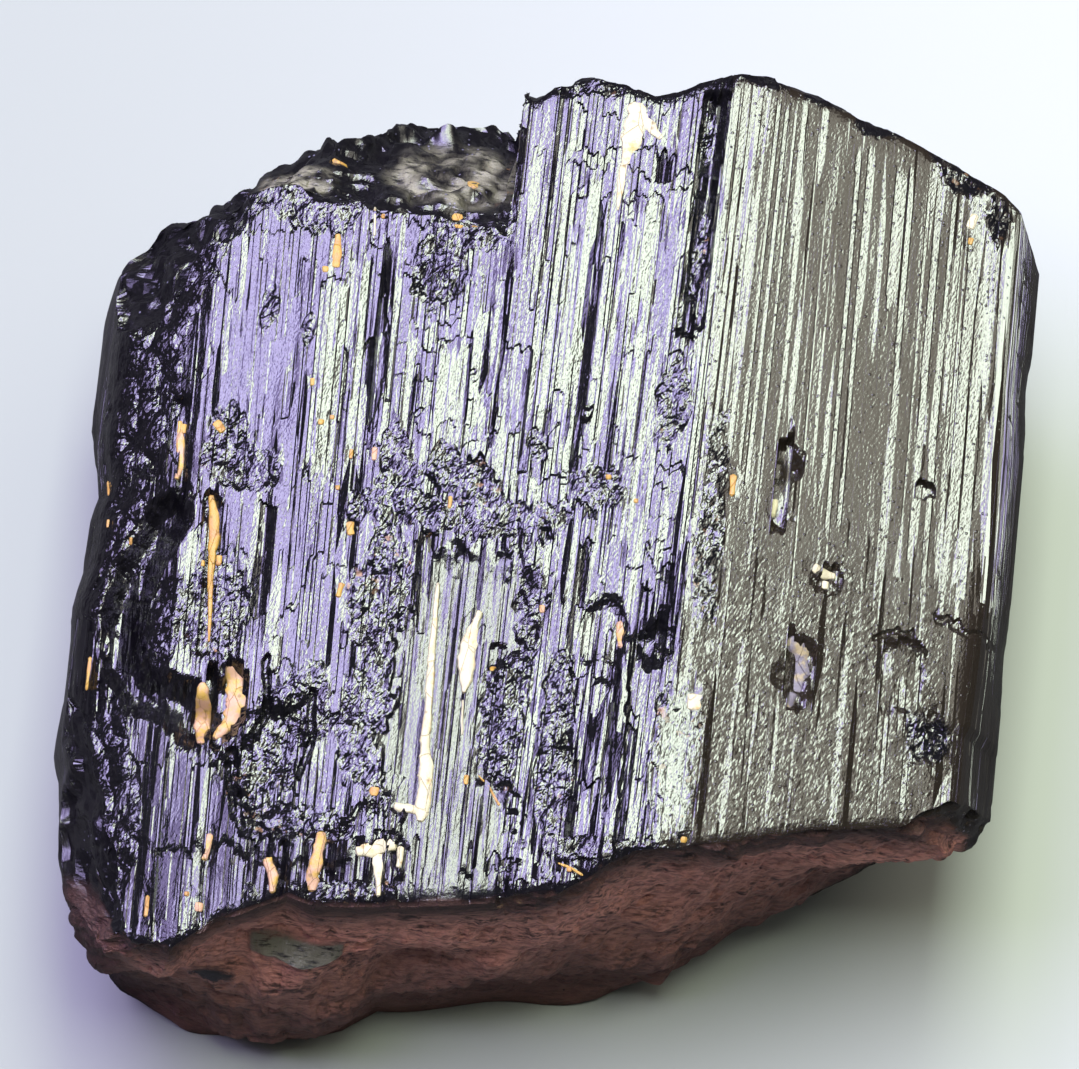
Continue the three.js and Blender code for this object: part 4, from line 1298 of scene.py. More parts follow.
@dataclass(frozen=True)
class SchorlFinish:
    """Black glassy crystal: striated faces, etched patches, and a matt reddish brown broken end."""

    black: Colour = (0.0055, 0.005, 0.0065, 1)
    dusk: Colour = (0.012, 0.011, 0.012, 1)
    # Painted sheen: a dim brown lift of the right facet's colour, standing in for its grey-brown reflection
    painted_sheen_brown: Colour = (0.02, 0.015, 0.01, 1)
    brown: Colour = (0.8, 0.33, 0.24, 1)
    dark_brown: Colour = (0.075, 0.03, 0.022, 1)
    deep_red: Colour = (0.26, 0.08, 0.055, 1)
    # Painted shade: the coat's dark colour where it faces up toward the lights; it also darkens the far left
    painted_shade_coat: Colour = (0.03, 0.014, 0.012, 1)
    dust: Colour = (0.34, 0.19, 0.09, 1)
    # Dust and painted sheen: dim mottles on the flanks and the top break, standing in partly for their grey
    # sheen
    dust_and_sheen: Colour = (0.075, 0.068, 0.05, 1)
    # Painted highlight: a pale colour on the window ledge of the foot and on patches of the top break,
    # standing in for light they reflect
    pale: Colour = (0.3, 0.28, 0.2, 1)
    # Painted glints: violet-grey specks on the breaks, standing in for tiny crystal faces catching the light
    painted_glint: Colour = (0.3, 0.28, 0.4, 1)
    gloss: float = 0.11
    ior: float = 1.63
    swing: float = 0.03
    floor_swing: float = 0.06
    dark_turn: float = 0.45
    needle_step: float = 0.03
    broad_needles: NeedleSize = NeedleSize(0.46, 9.0, 16.0)
    close_needles: NeedleSize = NeedleSize(0.2, 3.0, 6.0)
    close_share: float = 0.55
    # Flat flakes of the etched ground and slanted ticks: width and length in mm, and steepest slope
    crumb_flakes: tuple[float, float, float] = (0.5, 0.8, 0.22)
    tick_flakes: tuple[float, float, float] = (0.14, 0.5, 0.11)
    flake_turn: float = -24.0
    crumb_size: tuple[float, float, float] = (0.36, 0.6, 0.5)
    crumb_turn: float = -28.0
    crumb_height: float = 0.17
    grit_size: tuple[float, float, float] = (0.22, 0.4, 0.3)
    grit_turn: float = -20.0
    grit_height: float = 0.034
    pore_height: float = 0.045
    rubble_depth: float = 0.2
    crest_half: float = 0.05
    striation: Striation = Striation()

    def needles(self, shader: Shader, place: tuple[Number, Number], base_slope: Number, swing: Number,
                on_right: Number, size: NeedleSize) -> Number:
        """Fine needles along the striation: most lie flat, some turn level to shine and some turn away.

        Args:
            shader: The material's shader builder.
            place: Places across and along the striation, in mm.
            base_slope: The mesh's own slope across, which a needle that turns level takes back.
            swing: How far each needle turns by itself.
            on_right: 1 on the right facet and 0 on the left one.
            size: The needles' mean width and lengths.

        Returns:
            The needles' height in mm: each one's turn times the way from its middle, and a small step.
        """
        length = shader.range(on_right, size.left_length, size.right_length)
        values, away, _ = shader.tiles(*place, size.width, length)
        white = values[0] < shader.attribute("white")
        dark = values[0] > 1.0 - shader.attribute("dark")
        turn = shader.range(self.past_crest(shader, place[0]), self.dark_turn, -self.dark_turn)
        slope = dark * turn - white * base_slope + shader.range(values[1], -1.0, 1.0) * swing
        return slope * away + shader.range(values[2], -self.needle_step / 2, self.needle_step / 2)

    def past_crest(self, shader: Shader, x: Number) -> Number:
        """0 to the left of the crest and 1 to the right of it."""
        return shader.step(x, self.striation.crest - self.crest_half, self.striation.crest + self.crest_half)

    def relief(self, shader: Shader, pore: Number) -> Number:
        """The height of everything too fine for the mesh: needles, etched flakes, slanted ticks, specks.

        Args:
            shader: The material's shader builder.
            pore: The stone's pores.

        Returns:
            The height in mm.
        """
        x, y, z = shader.axes()
        lines = self.striation
        far_left, far_right = lines.lean_zone
        lean = shader.range(shader.step(x, far_left, lines.crest), lines.lean_left, lines.lean_crest)
        lean = lean - shader.step(x, lines.crest, far_right) * (lines.lean_crest - lines.lean_right)
        flank, satin, etched, hackly, brown, dashed = shader.attributes(
            "flank", "satin", "etched", "hackly", "brown", "dashed")
        place = (x - y * lean + z * flank, y)
        on_right = self.past_crest(shader, x)
        facing = shader.split(shader.add("NewGeometry").outputs["Normal"])
        base_slope = facing[0] / facing[2].greatest(0.5) * -1.0
        swing = shader.range(on_right, self.swing, 0.4 * self.swing) + satin * self.floor_swing
        plain = 1.0 - hackly.greatest(brown).greatest(etched)
        broad, close = (self.needles(shader, place, base_slope, swing, on_right, size)
                        for size in (self.broad_needles, self.close_needles))
        right, above = shader.turned(x, y, self.flake_turn)
        crumpled = shader.noise(shader.slanted(self.crumb_size, self.crumb_turn), 1.0, 1.5, 0.45)
        crumbs = crumpled * self.crumb_height + shader.flakes(right, above, *self.crumb_flakes)
        ticks = shader.flakes(right, above, *self.tick_flakes) * dashed
        grit = shader.noise(shader.slanted(self.grit_size, self.grit_turn), 1.0, 1.0, 0.5)
        specks = grit * self.grit_height + pore * on_right * self.pore_height
        return (broad + close * self.close_share) * plain + crumbs * etched + ticks + specks * plain

    def ground(self, shader: Shader, stone: dict[str, Number], fibres: Number, dust_and_sheen_share: Number) -> Input:
        """The colour of the bare crystal: black, with painted sheen and dust, pale painted highlights and
        painted glints.

        Args:
            shader: The material's shader builder.
            stone: The stone group's outputs.
            fibres: Streaked noise.
            dust_and_sheen_share: The share of dust and painted sheen.

        Returns:
            The colour.
        """
        smooth_face, pale, hackly = shader.attributes("smooth", "pale", "hackly")
        colour = shader.blend(shader.step(stone["Grain"], 0.45, 0.75), self.black, self.dusk)
        # Painted sheen: the right facet's colour is lifted to a dim brown in place of a reflection
        colour = shader.blend(smooth_face, colour, self.painted_sheen_brown)
        # Mottles that are partly dust and partly painted sheen, on the flanks and the top break
        colour = shader.blend(dust_and_sheen_share, colour, self.dust_and_sheen)
        # Painted highlights: pale streaks on the window ledge and on the top break
        colour = shader.blend(pale * shader.step(fibres, 0.36, 0.52), colour, self.pale)
        # Painted glints: sparse violet-grey specks on the breaks, clustered by the blotches
        painted_glints = stone["Pore"] * hackly * 0.6 * shader.step(stone["Blotch"], 0.5, 0.6)
        return shader.blend(painted_glints, colour, self.painted_glint)

    def coat(self, shader: Shader, stone: dict[str, Number], fibres: Number) -> Input:
        """The colour of the matt coat on the broken end: brown, redder in streaks and darker below, with
        painted shade where it faces up and towards the far left.

        Args:
            shader: The material's shader builder.
            stone: The stone group's outputs.
            fibres: Streaked noise.

        Returns:
            The colour.
        """
        x, _, z = shader.axes()
        worn = shader.step(stone["Blotch"] * 0.45 + fibres * 0.7, 0.59, 0.72)
        colour = shader.blend(shader.step(fibres, 0.42, 0.56) * 0.6, self.brown, self.deep_red)
        colour = shader.blend((1.0 - shader.step(z, 12.0, 40.0)) * 0.85, colour, self.dark_brown)
        # Painted shade where the coat faces up toward the lights; it is also darker towards the far left
        shown = shader.attribute("front").greatest(1.0 - shader.step(x, -39.0, -30.0))
        colour = shader.blend(worn, colour, self.dark_brown)
        return shader.blend(shown * 0.92, colour, self.painted_shade_coat)

    def material(self) -> bpy.types.Material:
        """Builds the finish from Object coordinates and the crystal's painted masks.

        Returns:
            The material.
        """
        material, shader, body = new_material("schorl")
        names = ("brown", "hackly", "smooth", "dust_and_sheen_mottles", "stained", "satin", "pale")
        brown, hackly, smooth_face, dust_and_sheen_mottles, stained, satin, pale = shader.attributes(*names)
        stone = shader.stone(1.6, 0.32, 2.1)
        fibres = shader.noise(shader.place((0.6, 2.2, 1.8)), 1.0, 6, 0.7)
        cloud = shader.noise(shader.place((1.6, 0.22, 1.6)), 0.9, 6, 0.65)
        # The share of dust and painted sheen
        dust_and_sheen_share = dust_and_sheen_mottles * shader.step(cloud, 0.42, 0.78)
        cover = brown * shader.step(stone["Grain"], 0.25, 0.4)
        ground, coat = self.ground(shader, stone, fibres, dust_and_sheen_share), self.coat(shader, stone, fibres)
        dusty = stained * shader.step(shader.noise(shader.place(), 0.9, 4, 0.6), 0.6, 0.68)
        shader.feed(body, "Base Color", shader.blend(dusty, shader.blend(cover, ground, coat), self.dust))

        gloss = shader.range(stone["Grain"], self.gloss - 0.03, self.gloss + 0.06)
        for mask, rise in ((satin, 0.11), (hackly, 0.06), (smooth_face, 0.05), (cover, 0.42), (dusty, 0.4),
                           (dust_and_sheen_share, 0.12), (pale, 0.3)):
            gloss = gloss + mask * rise
        shader.feed(body, "Roughness", gloss)

        normal = shader.bump(self.relief(shader, stone["Pore"]), 1.0)
        chipped = brown.greatest(pale).greatest(hackly * 0.16)
        rubble = shader.noise(shader.place((0.6, 1.3, 1.0)), 3.0, 5, 0.65) * chipped
        shader.feed(body, "Normal", shader.bump(rubble, self.rubble_depth, normal))
        shader.feed(body, "IOR", self.ior)
        return material


@dataclass(frozen=True)
class FeldsparFinish:
    """One colour of the feldspar grains, with its stain, cracks and satin gloss."""

    name: str
    light: Colour
    stain: Colour
    stained: float
    gloss: float = 0.38
    ior: float = 1.53
    crack_width: float = 0.022
    crack_depth: float = 0.05
    grain_depth: float = 0.06
    dimmed: float = 0.35

    def material(self) -> bpy.types.Material:
        """Builds the finish from Object coordinates: stains, cleavage cracks and a fine grain.

        Returns:
            The material.
        """
        material, shader, body = new_material(self.name)
        stone = shader.stone(6.0, 0.8, 1.3)
        share = shader.step(stone["Blotch"], 0.66 - self.stained, 0.84 - self.stained)
        colour = shader.blend(share, self.light, self.stain)
        node = shader.tree.nodes.new("ShaderNodeTexVoronoi")
        node.feature = "DISTANCE_TO_EDGE"
        shader.feed(node, "Vector", shader.place((1, 0.4, 1), 18.0))
        shader.feed(node, "Scale", 0.75)
        crack = shader.step(node.outputs[0], self.crack_width, 0.0)
        dim = tuple(value * self.dimmed for value in self.stain[:3]) + (1,)
        colour = shader.blend(crack * 0.25, colour, dim)
        colour = shader.blend(stone["Pore"] * 0.6, colour, dim)
        grained = shader.bump(stone["Grain"], self.grain_depth)
        normal = shader.bump(1.0 - crack, self.crack_depth, grained)
        shader.feed(body, "Base Color", colour)
        shader.feed(body, "Roughness", shader.range(stone["Grain"], self.gloss - 0.08, self.gloss + 0.14))
        shader.feed(body, "Normal", normal)
        shader.feed(body, "IOR", self.ior)
        return material


class Feldspar(Enum):
    """The feldspar finishes, one for each colour of grain."""

    CREAM = FeldsparFinish("feldspar_cream", (0.66, 0.6, 0.38, 1), (0.66, 0.42, 0.15, 1), 0.1)
    ORANGE = FeldsparFinish("feldspar_orange", (0.52, 0.27, 0.08, 1), (0.56, 0.33, 0.06, 1), 0.28)
    PINK = FeldsparFinish("feldspar_pink", (0.6, 0.36, 0.22, 1), (0.6, 0.38, 0.08, 1), 0.22)
    TAN = FeldsparFinish("feldspar_tan", (0.34, 0.27, 0.14, 1), (0.16, 0.14, 0.16, 1), 0.3)


@dataclass
class SchorlCrystal:
    """The whole black crystal: one closed surface that stands for the solid."""

    form: Form = Form()
    striation: Striation = Striation()
    columns: int = 720
    rows: int = 380
    side_bands: int = 64
    back_rings: tuple[float, ...] = (0.985, 0.96, 0.9, 0.8, 0.62, 0.42, 0.22, 0.07)
    most_triangles: int = 188000
    needle_fade: int = 8
    end_face: float = -0.97
    face_angle: float = 4.0
    other_angle: float = 27.0
    # Patches of the top break that get painted pale highlights and mottles of dust and painted sheen
    sheen_patches: tuple[Patch, ...] = patches((-12.0, 33.5, 6.5, 5.5), (-27.5, 30.8, 4.0, 2.2))
    satin_patches: tuple[Patch, ...] = patches((-20.0, -38.5, 14.0, 5.5), (-33.0, -29.0, 6.0, 9.0))
    inset: float = 0.01

    def surface(self, a: np.ndarray, b: np.ndarray, c: np.ndarray) -> tuple[np.ndarray, Masks]:
        """The crystal's surface: a cube's carried to the cross-section and ends, then worked over.

        Args:
            a, b, c: Places on the cube's surface, from -1 to 1 each way.

        Returns:
            The points in mm, and the masks that the finish reads.
        """
        form, striation = self.form, self.striation
        ra, rb, rc = form.rounded(a, b, c)
        x, z = form.section((ra + 1) / 2, (rc + 1) / 2)
        below = form.window_level - z
        ledge = smooth(0.05, 0.3, form.window_share(x)) * smooth(-1.2, -0.7, below)
        ledge = ledge * (1.0 - smooth(0.7, 1.4, below)) * (rb < self.end_face)
        y = mix(*form.ends(x, z), (rb + 1) / 2)
        front = smooth(*form.face_zone, rc)
        back = smooth(*form.face_zone, -rc)
        side = smooth(*form.side_zone, np.abs(ra)) * np.sign(ra) * (1.0 - front)
        swell, profile, hollow = form.swell(ra, y, z), form.profile(ra, y), form.dents(x, y)
        shift = y * striation.lean(x) * (1.0 - ra ** 6) * front
        z = z + front * (form.facet(x + shift) - form.facet(x))
        x = x + shift + side * swell + profile
        across = striation.across(x, y)
        floor = form.in_recess(x, y)
        lowered = form.hollows(x, y, across) - nests(x, y)
        drawn = striation.relief(x, y, across, floor)
        z = z + front * (lowered + striation.broad(x, y, across) + drawn) + back * hollow
        points = np.stack([x, y, z], axis=1)
        broken = np.zeros(len(points))
        for flat in form.breaks:
            points, moved = form.break_off(points, flat)
            broken = np.maximum(broken, smooth(0.05, 0.6, moved))
        return points, self.masks((ra, rb, rc), (x, y, z), points, broken, ledge)

    def masks(self, cube: Places, place: Places, points: np.ndarray, broken: Field, ledge: Field) -> Masks:
        """The values painted on the mesh, which tell the finish what each place of the surface is.

        Args:
            cube: Places on the rounded block, from -1 to 1 each way.
            place: Places on the crystal in mm, before anything is broken off.
            points: The same places afterwards.
            broken: The share of each place that is a break.
            ledge: The share of it that is the ledge of the window in the foot.

        Returns:
            The masks, by name.
        """
        form, striation = self.form, self.striation
        ra, rb, rc = cube
        x, y, z = place
        front, back, floor = smooth(*form.face_zone, rc), smooth(*form.face_zone, -rc), form.in_recess(x, y)
        fringe = 0.012 * lumps(x / 3.0, z / 3.0, 1.1) + 0.012 * lumps(x / 0.8, z / 2.0, 4.1)
        end = smooth(-0.005, 0.02, np.abs(rb) - np.abs(rc) + fringe)
        end = end * smooth(0.0, 0.05, np.abs(rb) - np.abs(ra))
        px, pz, rx, rz = form.small_window
        glint = Patch(px, pz, rx, rz).share(x, z, 0.4 * lumps(x / 0.8, 2.2, z / 0.8))
        glint = glint * (rb < self.end_face)
        white, dark = striation.needle_shares(x, y, floor)
        flank = (1.0 - front) * (1.0 - back) * (1.0 - end)
        # The patches of the breaks where painted highlights and mottles of dust and painted sheen go
        patchy = striation.most(self.sheen_patches, points[:, 0], points[:, 1])
        dust_and_sheen_mottles = flank * np.where(x > 0, 1.0, 0.25) + (1.0 - flank) * patchy
        satiny = 0.8 * striation.most(self.satin_patches, x, y)
        dashed = striation.dash_patch.share(x, y, 0.3 * lumps(x * 0.3, y * 0.2, 2.2))
        return {
            "brown": end * (rb < 0) * (1.0 - ledge) * (1.0 - glint),
            "hackly": np.maximum(end * (rb > 0), broken),
            "etched": striation.etched(x, y) * front * (1.0 - broken) * (1.0 - floor)
            * (1.0 - 0.75 * striation.flare_share(x, y)),
            "satin": np.maximum(np.maximum(floor, satiny) * front, ledge),
            # Painted highlights: on the window ledge of the foot, and on the patches of the breaks
            "pale": np.maximum(0.45 * ledge, broken * patchy * smooth(-0.5, 0.6, lumps(*(points.T / 1.1)))),
            "white": white * front ** self.needle_fade,
            "dark": dark * front ** self.needle_fade,
            "flank": flank,
            # Dust and painted sheen: all of the right flank, a quarter of the left flank, and the patches of
            # the breaks
            "dust_and_sheen_mottles": dust_and_sheen_mottles * (1.0 - end * (rb < 0)),
            # The right facet: a little rougher, and given the painted sheen
            "smooth": smooth(13.0, 14.0, x) * front * (1.0 - striation.etched(x, y)),
            "dashed": dashed * smooth(striation.crest, 16, x),
            "front": front,
            "back": back,
        }

    def net(self) -> tuple[np.ndarray, np.ndarray, np.ndarray, np.ndarray]:
        """Cube places and triangles: the front's net, then rings round the sides and over the back.

        Returns:
            The places' a, b and c, and the triangles.
        """
        u = np.linspace(-1, 1, self.columns + 1)
        v = np.linspace(-1, 1, self.rows + 1)
        b, a = (grid.ravel() for grid in np.meshgrid(v, u, indexing="ij"))
        number = np.arange(a.size).reshape(self.rows + 1, self.columns + 1)
        quads = np.stack([number[:-1, :-1], number[:-1, 1:], number[1:, 1:], number[1:, :-1]], axis=-1)
        rim = np.concatenate([number[0, :-1], number[:-1, -1], number[-1, :0:-1], number[:0:-1, 0]])
        rim_a, rim_b = a[rim], b[rim]
        depths = 1.0 - 2.0 * np.arange(1, self.side_bands + 1) / self.side_bands
        scales = np.concatenate([np.ones(self.side_bands), self.back_rings])
        depths = np.concatenate([depths, -np.ones(len(self.back_rings))])
        ring_a = np.outer(scales, rim_a)
        ring_b = np.outer(scales, rim_b)
        ring_c = np.repeat(depths[:, None], rim.size, axis=1)
        rings = np.vstack([rim, a.size + np.arange(ring_a.size).reshape(ring_a.shape)])
        turned = np.roll(rings, -1, axis=1)
        sides = np.stack([rings[:-1], rings[1:], turned[1:], turned[:-1]], axis=-1).reshape(-1, 4)
        middle = a.size + ring_a.size
        fan = np.stack([rings[-1], np.full(rim.size, middle), turned[-1]], axis=-1)
        triangles = np.concatenate([triangles_of(quads.reshape(-1, 4)), triangles_of(sides), fan])
        c = np.concatenate([np.ones(a.size), ring_c.ravel(), [-1.0]])
        a, b = (np.concatenate([flat, ring.ravel(), [0.0]]) for flat, ring in ((a, ring_a), (b, ring_b)))
        return a, b, c, triangles

    def roughen(self, points: np.ndarray, triangles: np.ndarray, masks: Masks) -> np.ndarray:
        """Moves the broken and side surfaces along their normals by hackly lumps and creases.

        Args:
            points: The surface's points.
            triangles: Its triangles.
            masks: The masks from surface().

        Returns:
            The points moved inwards by up to about a millimetre.
        """
        corners = points[triangles]
        flat = np.cross(corners[:, 1] - corners[:, 0], corners[:, 2] - corners[:, 0])
        normals = np.zeros_like(points)
        for corner in range(3):
            for axis in range(3):
                normals[:, axis] += np.bincount(triangles[:, corner], flat[:, axis], len(points))
        normals /= np.linalg.norm(normals, axis=1, keepdims=True) + 1e-12
        x, y, z = points.T
        rough = np.maximum(masks["brown"], masks["hackly"]) * (1.0 - masks["back"]) * (1.0 - masks["satin"])
        hackle = sum(
            height * creases(x / size + 0.3 * size, y / size, z / size)
            for size, height in ((4.2, 0.5), (2.0, 0.3))
        )
        fine = 0.16 * creases(x + 0.3, y, z) + 0.08 * creases(x / 0.55 + 0.165, y / 0.55, z / 0.55)
        hackle = hackle + fine * mix(0.45, 1.0, masks["brown"])
        weather = 0.12 * creases(x / 1.6, y / 2.4, z / 1.6) * (1.0 - masks["front"]) * (1.0 - masks["back"])
        move = rough * (hackle - 0.45) + (1.0 - rough) * (weather - 0.05)
        return points + normals * move[:, None]

    def build(self) -> bpy.types.Object:
        """Works out the surface, thins it where it is flat, and dresses it.

        Returns:
            The crystal.
        """
        a, b, c, triangles = self.net()
        points, masks = self.surface(a, b, c)
        points = self.roughen(points, triangles, masks)
        low, high = (np.array(corner) / MM for corner in CAD_BOX)
        LOG.info("crystal before the box holds it: %s to %s", points.min(0).round(2), points.max(0).round(2))
        points = np.clip(points, low + self.inset, high - self.inset)
        dense = mesh_from_arrays("dense_crystal", points, triangles)
        x, y, _ = points.T
        rough = np.maximum(masks["hackly"], masks["etched"])
        masks["stained"] = smooth(0.1, 0.6, lumps(x / 6.0, y / 6.0, 4.2)) * rough * smooth(-36.0, -32.0, x)
        for name, values in masks.items():
            if name != "back":
                paint(dense, name, values)
        mesh = thinned(dense, self.most_triangles)
        mesh.name = "schorl_crystal_dressed"
        mesh.shade_smooth()
        sharpen(mesh, "front", self.face_angle, self.other_angle)
        thing = place_object(mesh, SchorlFinish().material())
        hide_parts("schorl_crystal")
        LOG.info("%s: %d triangles", thing.name, len(mesh.polygons))
        return thing


def thinned(mesh: bpy.types.Mesh, most: int) -> bpy.types.Mesh:
    """A copy of a mesh with at most so many triangles, kept where the surface bends.

    Args:
        mesh: The dense mesh, which is removed.
        most: The number of triangles to keep.

    Returns:
        The thinned mesh.
    """
    holder = bpy.data.objects.new("holder", mesh)
    bpy.context.scene.collection.objects.link(holder)
    modifier = holder.modifiers.new("thin", "DECIMATE")
    modifier.ratio = most / len(mesh.polygons)
    graph = bpy.context.evaluated_depsgraph_get()
    result = bpy.data.meshes.new_from_object(holder.evaluated_get(graph))
    bpy.data.objects.remove(holder)
    bpy.data.meshes.remove(mesh)
    return result


def sharpen(mesh: bpy.types.Mesh, mask: str, inside: float, outside: float) -> None:
    """Marks an edge sharp where its two triangles meet at more than an angle.

    The length of the sum of two unit normals gives the cosine of the angle between them: length^2 / 2 - 1.

    Args:
        mesh: A closed mesh of triangles.
        mask: The painted value that chooses the angle.
        inside: The angle where the value is above a half, in degrees.
        outside: The angle elsewhere, in degrees.
    """
    edges = np.empty(len(mesh.loops), np.int32)
    mesh.loops.foreach_get("edge_index", edges)
    normals = np.empty(3 * len(mesh.polygons), np.float32)
    mesh.polygons.foreach_get("normal", normals)
    normals = np.repeat(normals.reshape(-1, 3), 3, axis=0)
    total = np.stack([np.bincount(edges, normals[:, axis], len(mesh.edges)) for axis in range(3)])
    cosine = (total ** 2).sum(axis=0) / 2.0 - 1.0
    share = np.empty(len(mesh.vertices), np.float32)
    mesh.attributes[mask].data.foreach_get("value", share)
    ends = np.empty(2 * len(mesh.edges), np.int32)
    mesh.edges.foreach_get("vertices", ends)
    chosen = share[ends].reshape(-1, 2).mean(axis=1) > 0.5
    limit = np.where(chosen, math.cos(math.radians(inside)), math.cos(math.radians(outside)))
    attribute = mesh.attributes.get("sharp_edge") or mesh.attributes.new("sharp_edge", "BOOLEAN", "EDGE")
    attribute.data.foreach_set("value", cosine < limit)


# Feldspar

@dataclass(frozen=True)
class Stroke:
    """A shard of feldspar: x, y and half width at places along its spine, and how far it stands proud."""

    spine: tuple[tuple[float, float, float], ...]
    proud: float = 0.14
    deep: float = 0.8


def dot(x: float, y: float, half: float, length: float = 0.25, lean: float = 0.0) -> Stroke:
    """A small chip of feldspar, from x and y downwards by its length."""
    return Stroke(((x, y, half), (x + lean, y - length, 0.8 * half)), 0.14, 0.5)


@dataclass(frozen=True)
class Grain:
    """One feldspar piece: its shards, its finish, and the solid that it stands for, if it has one."""

    name: str
    finish: Feldspar
    strokes: tuple[Stroke, ...]
    node: str = ""


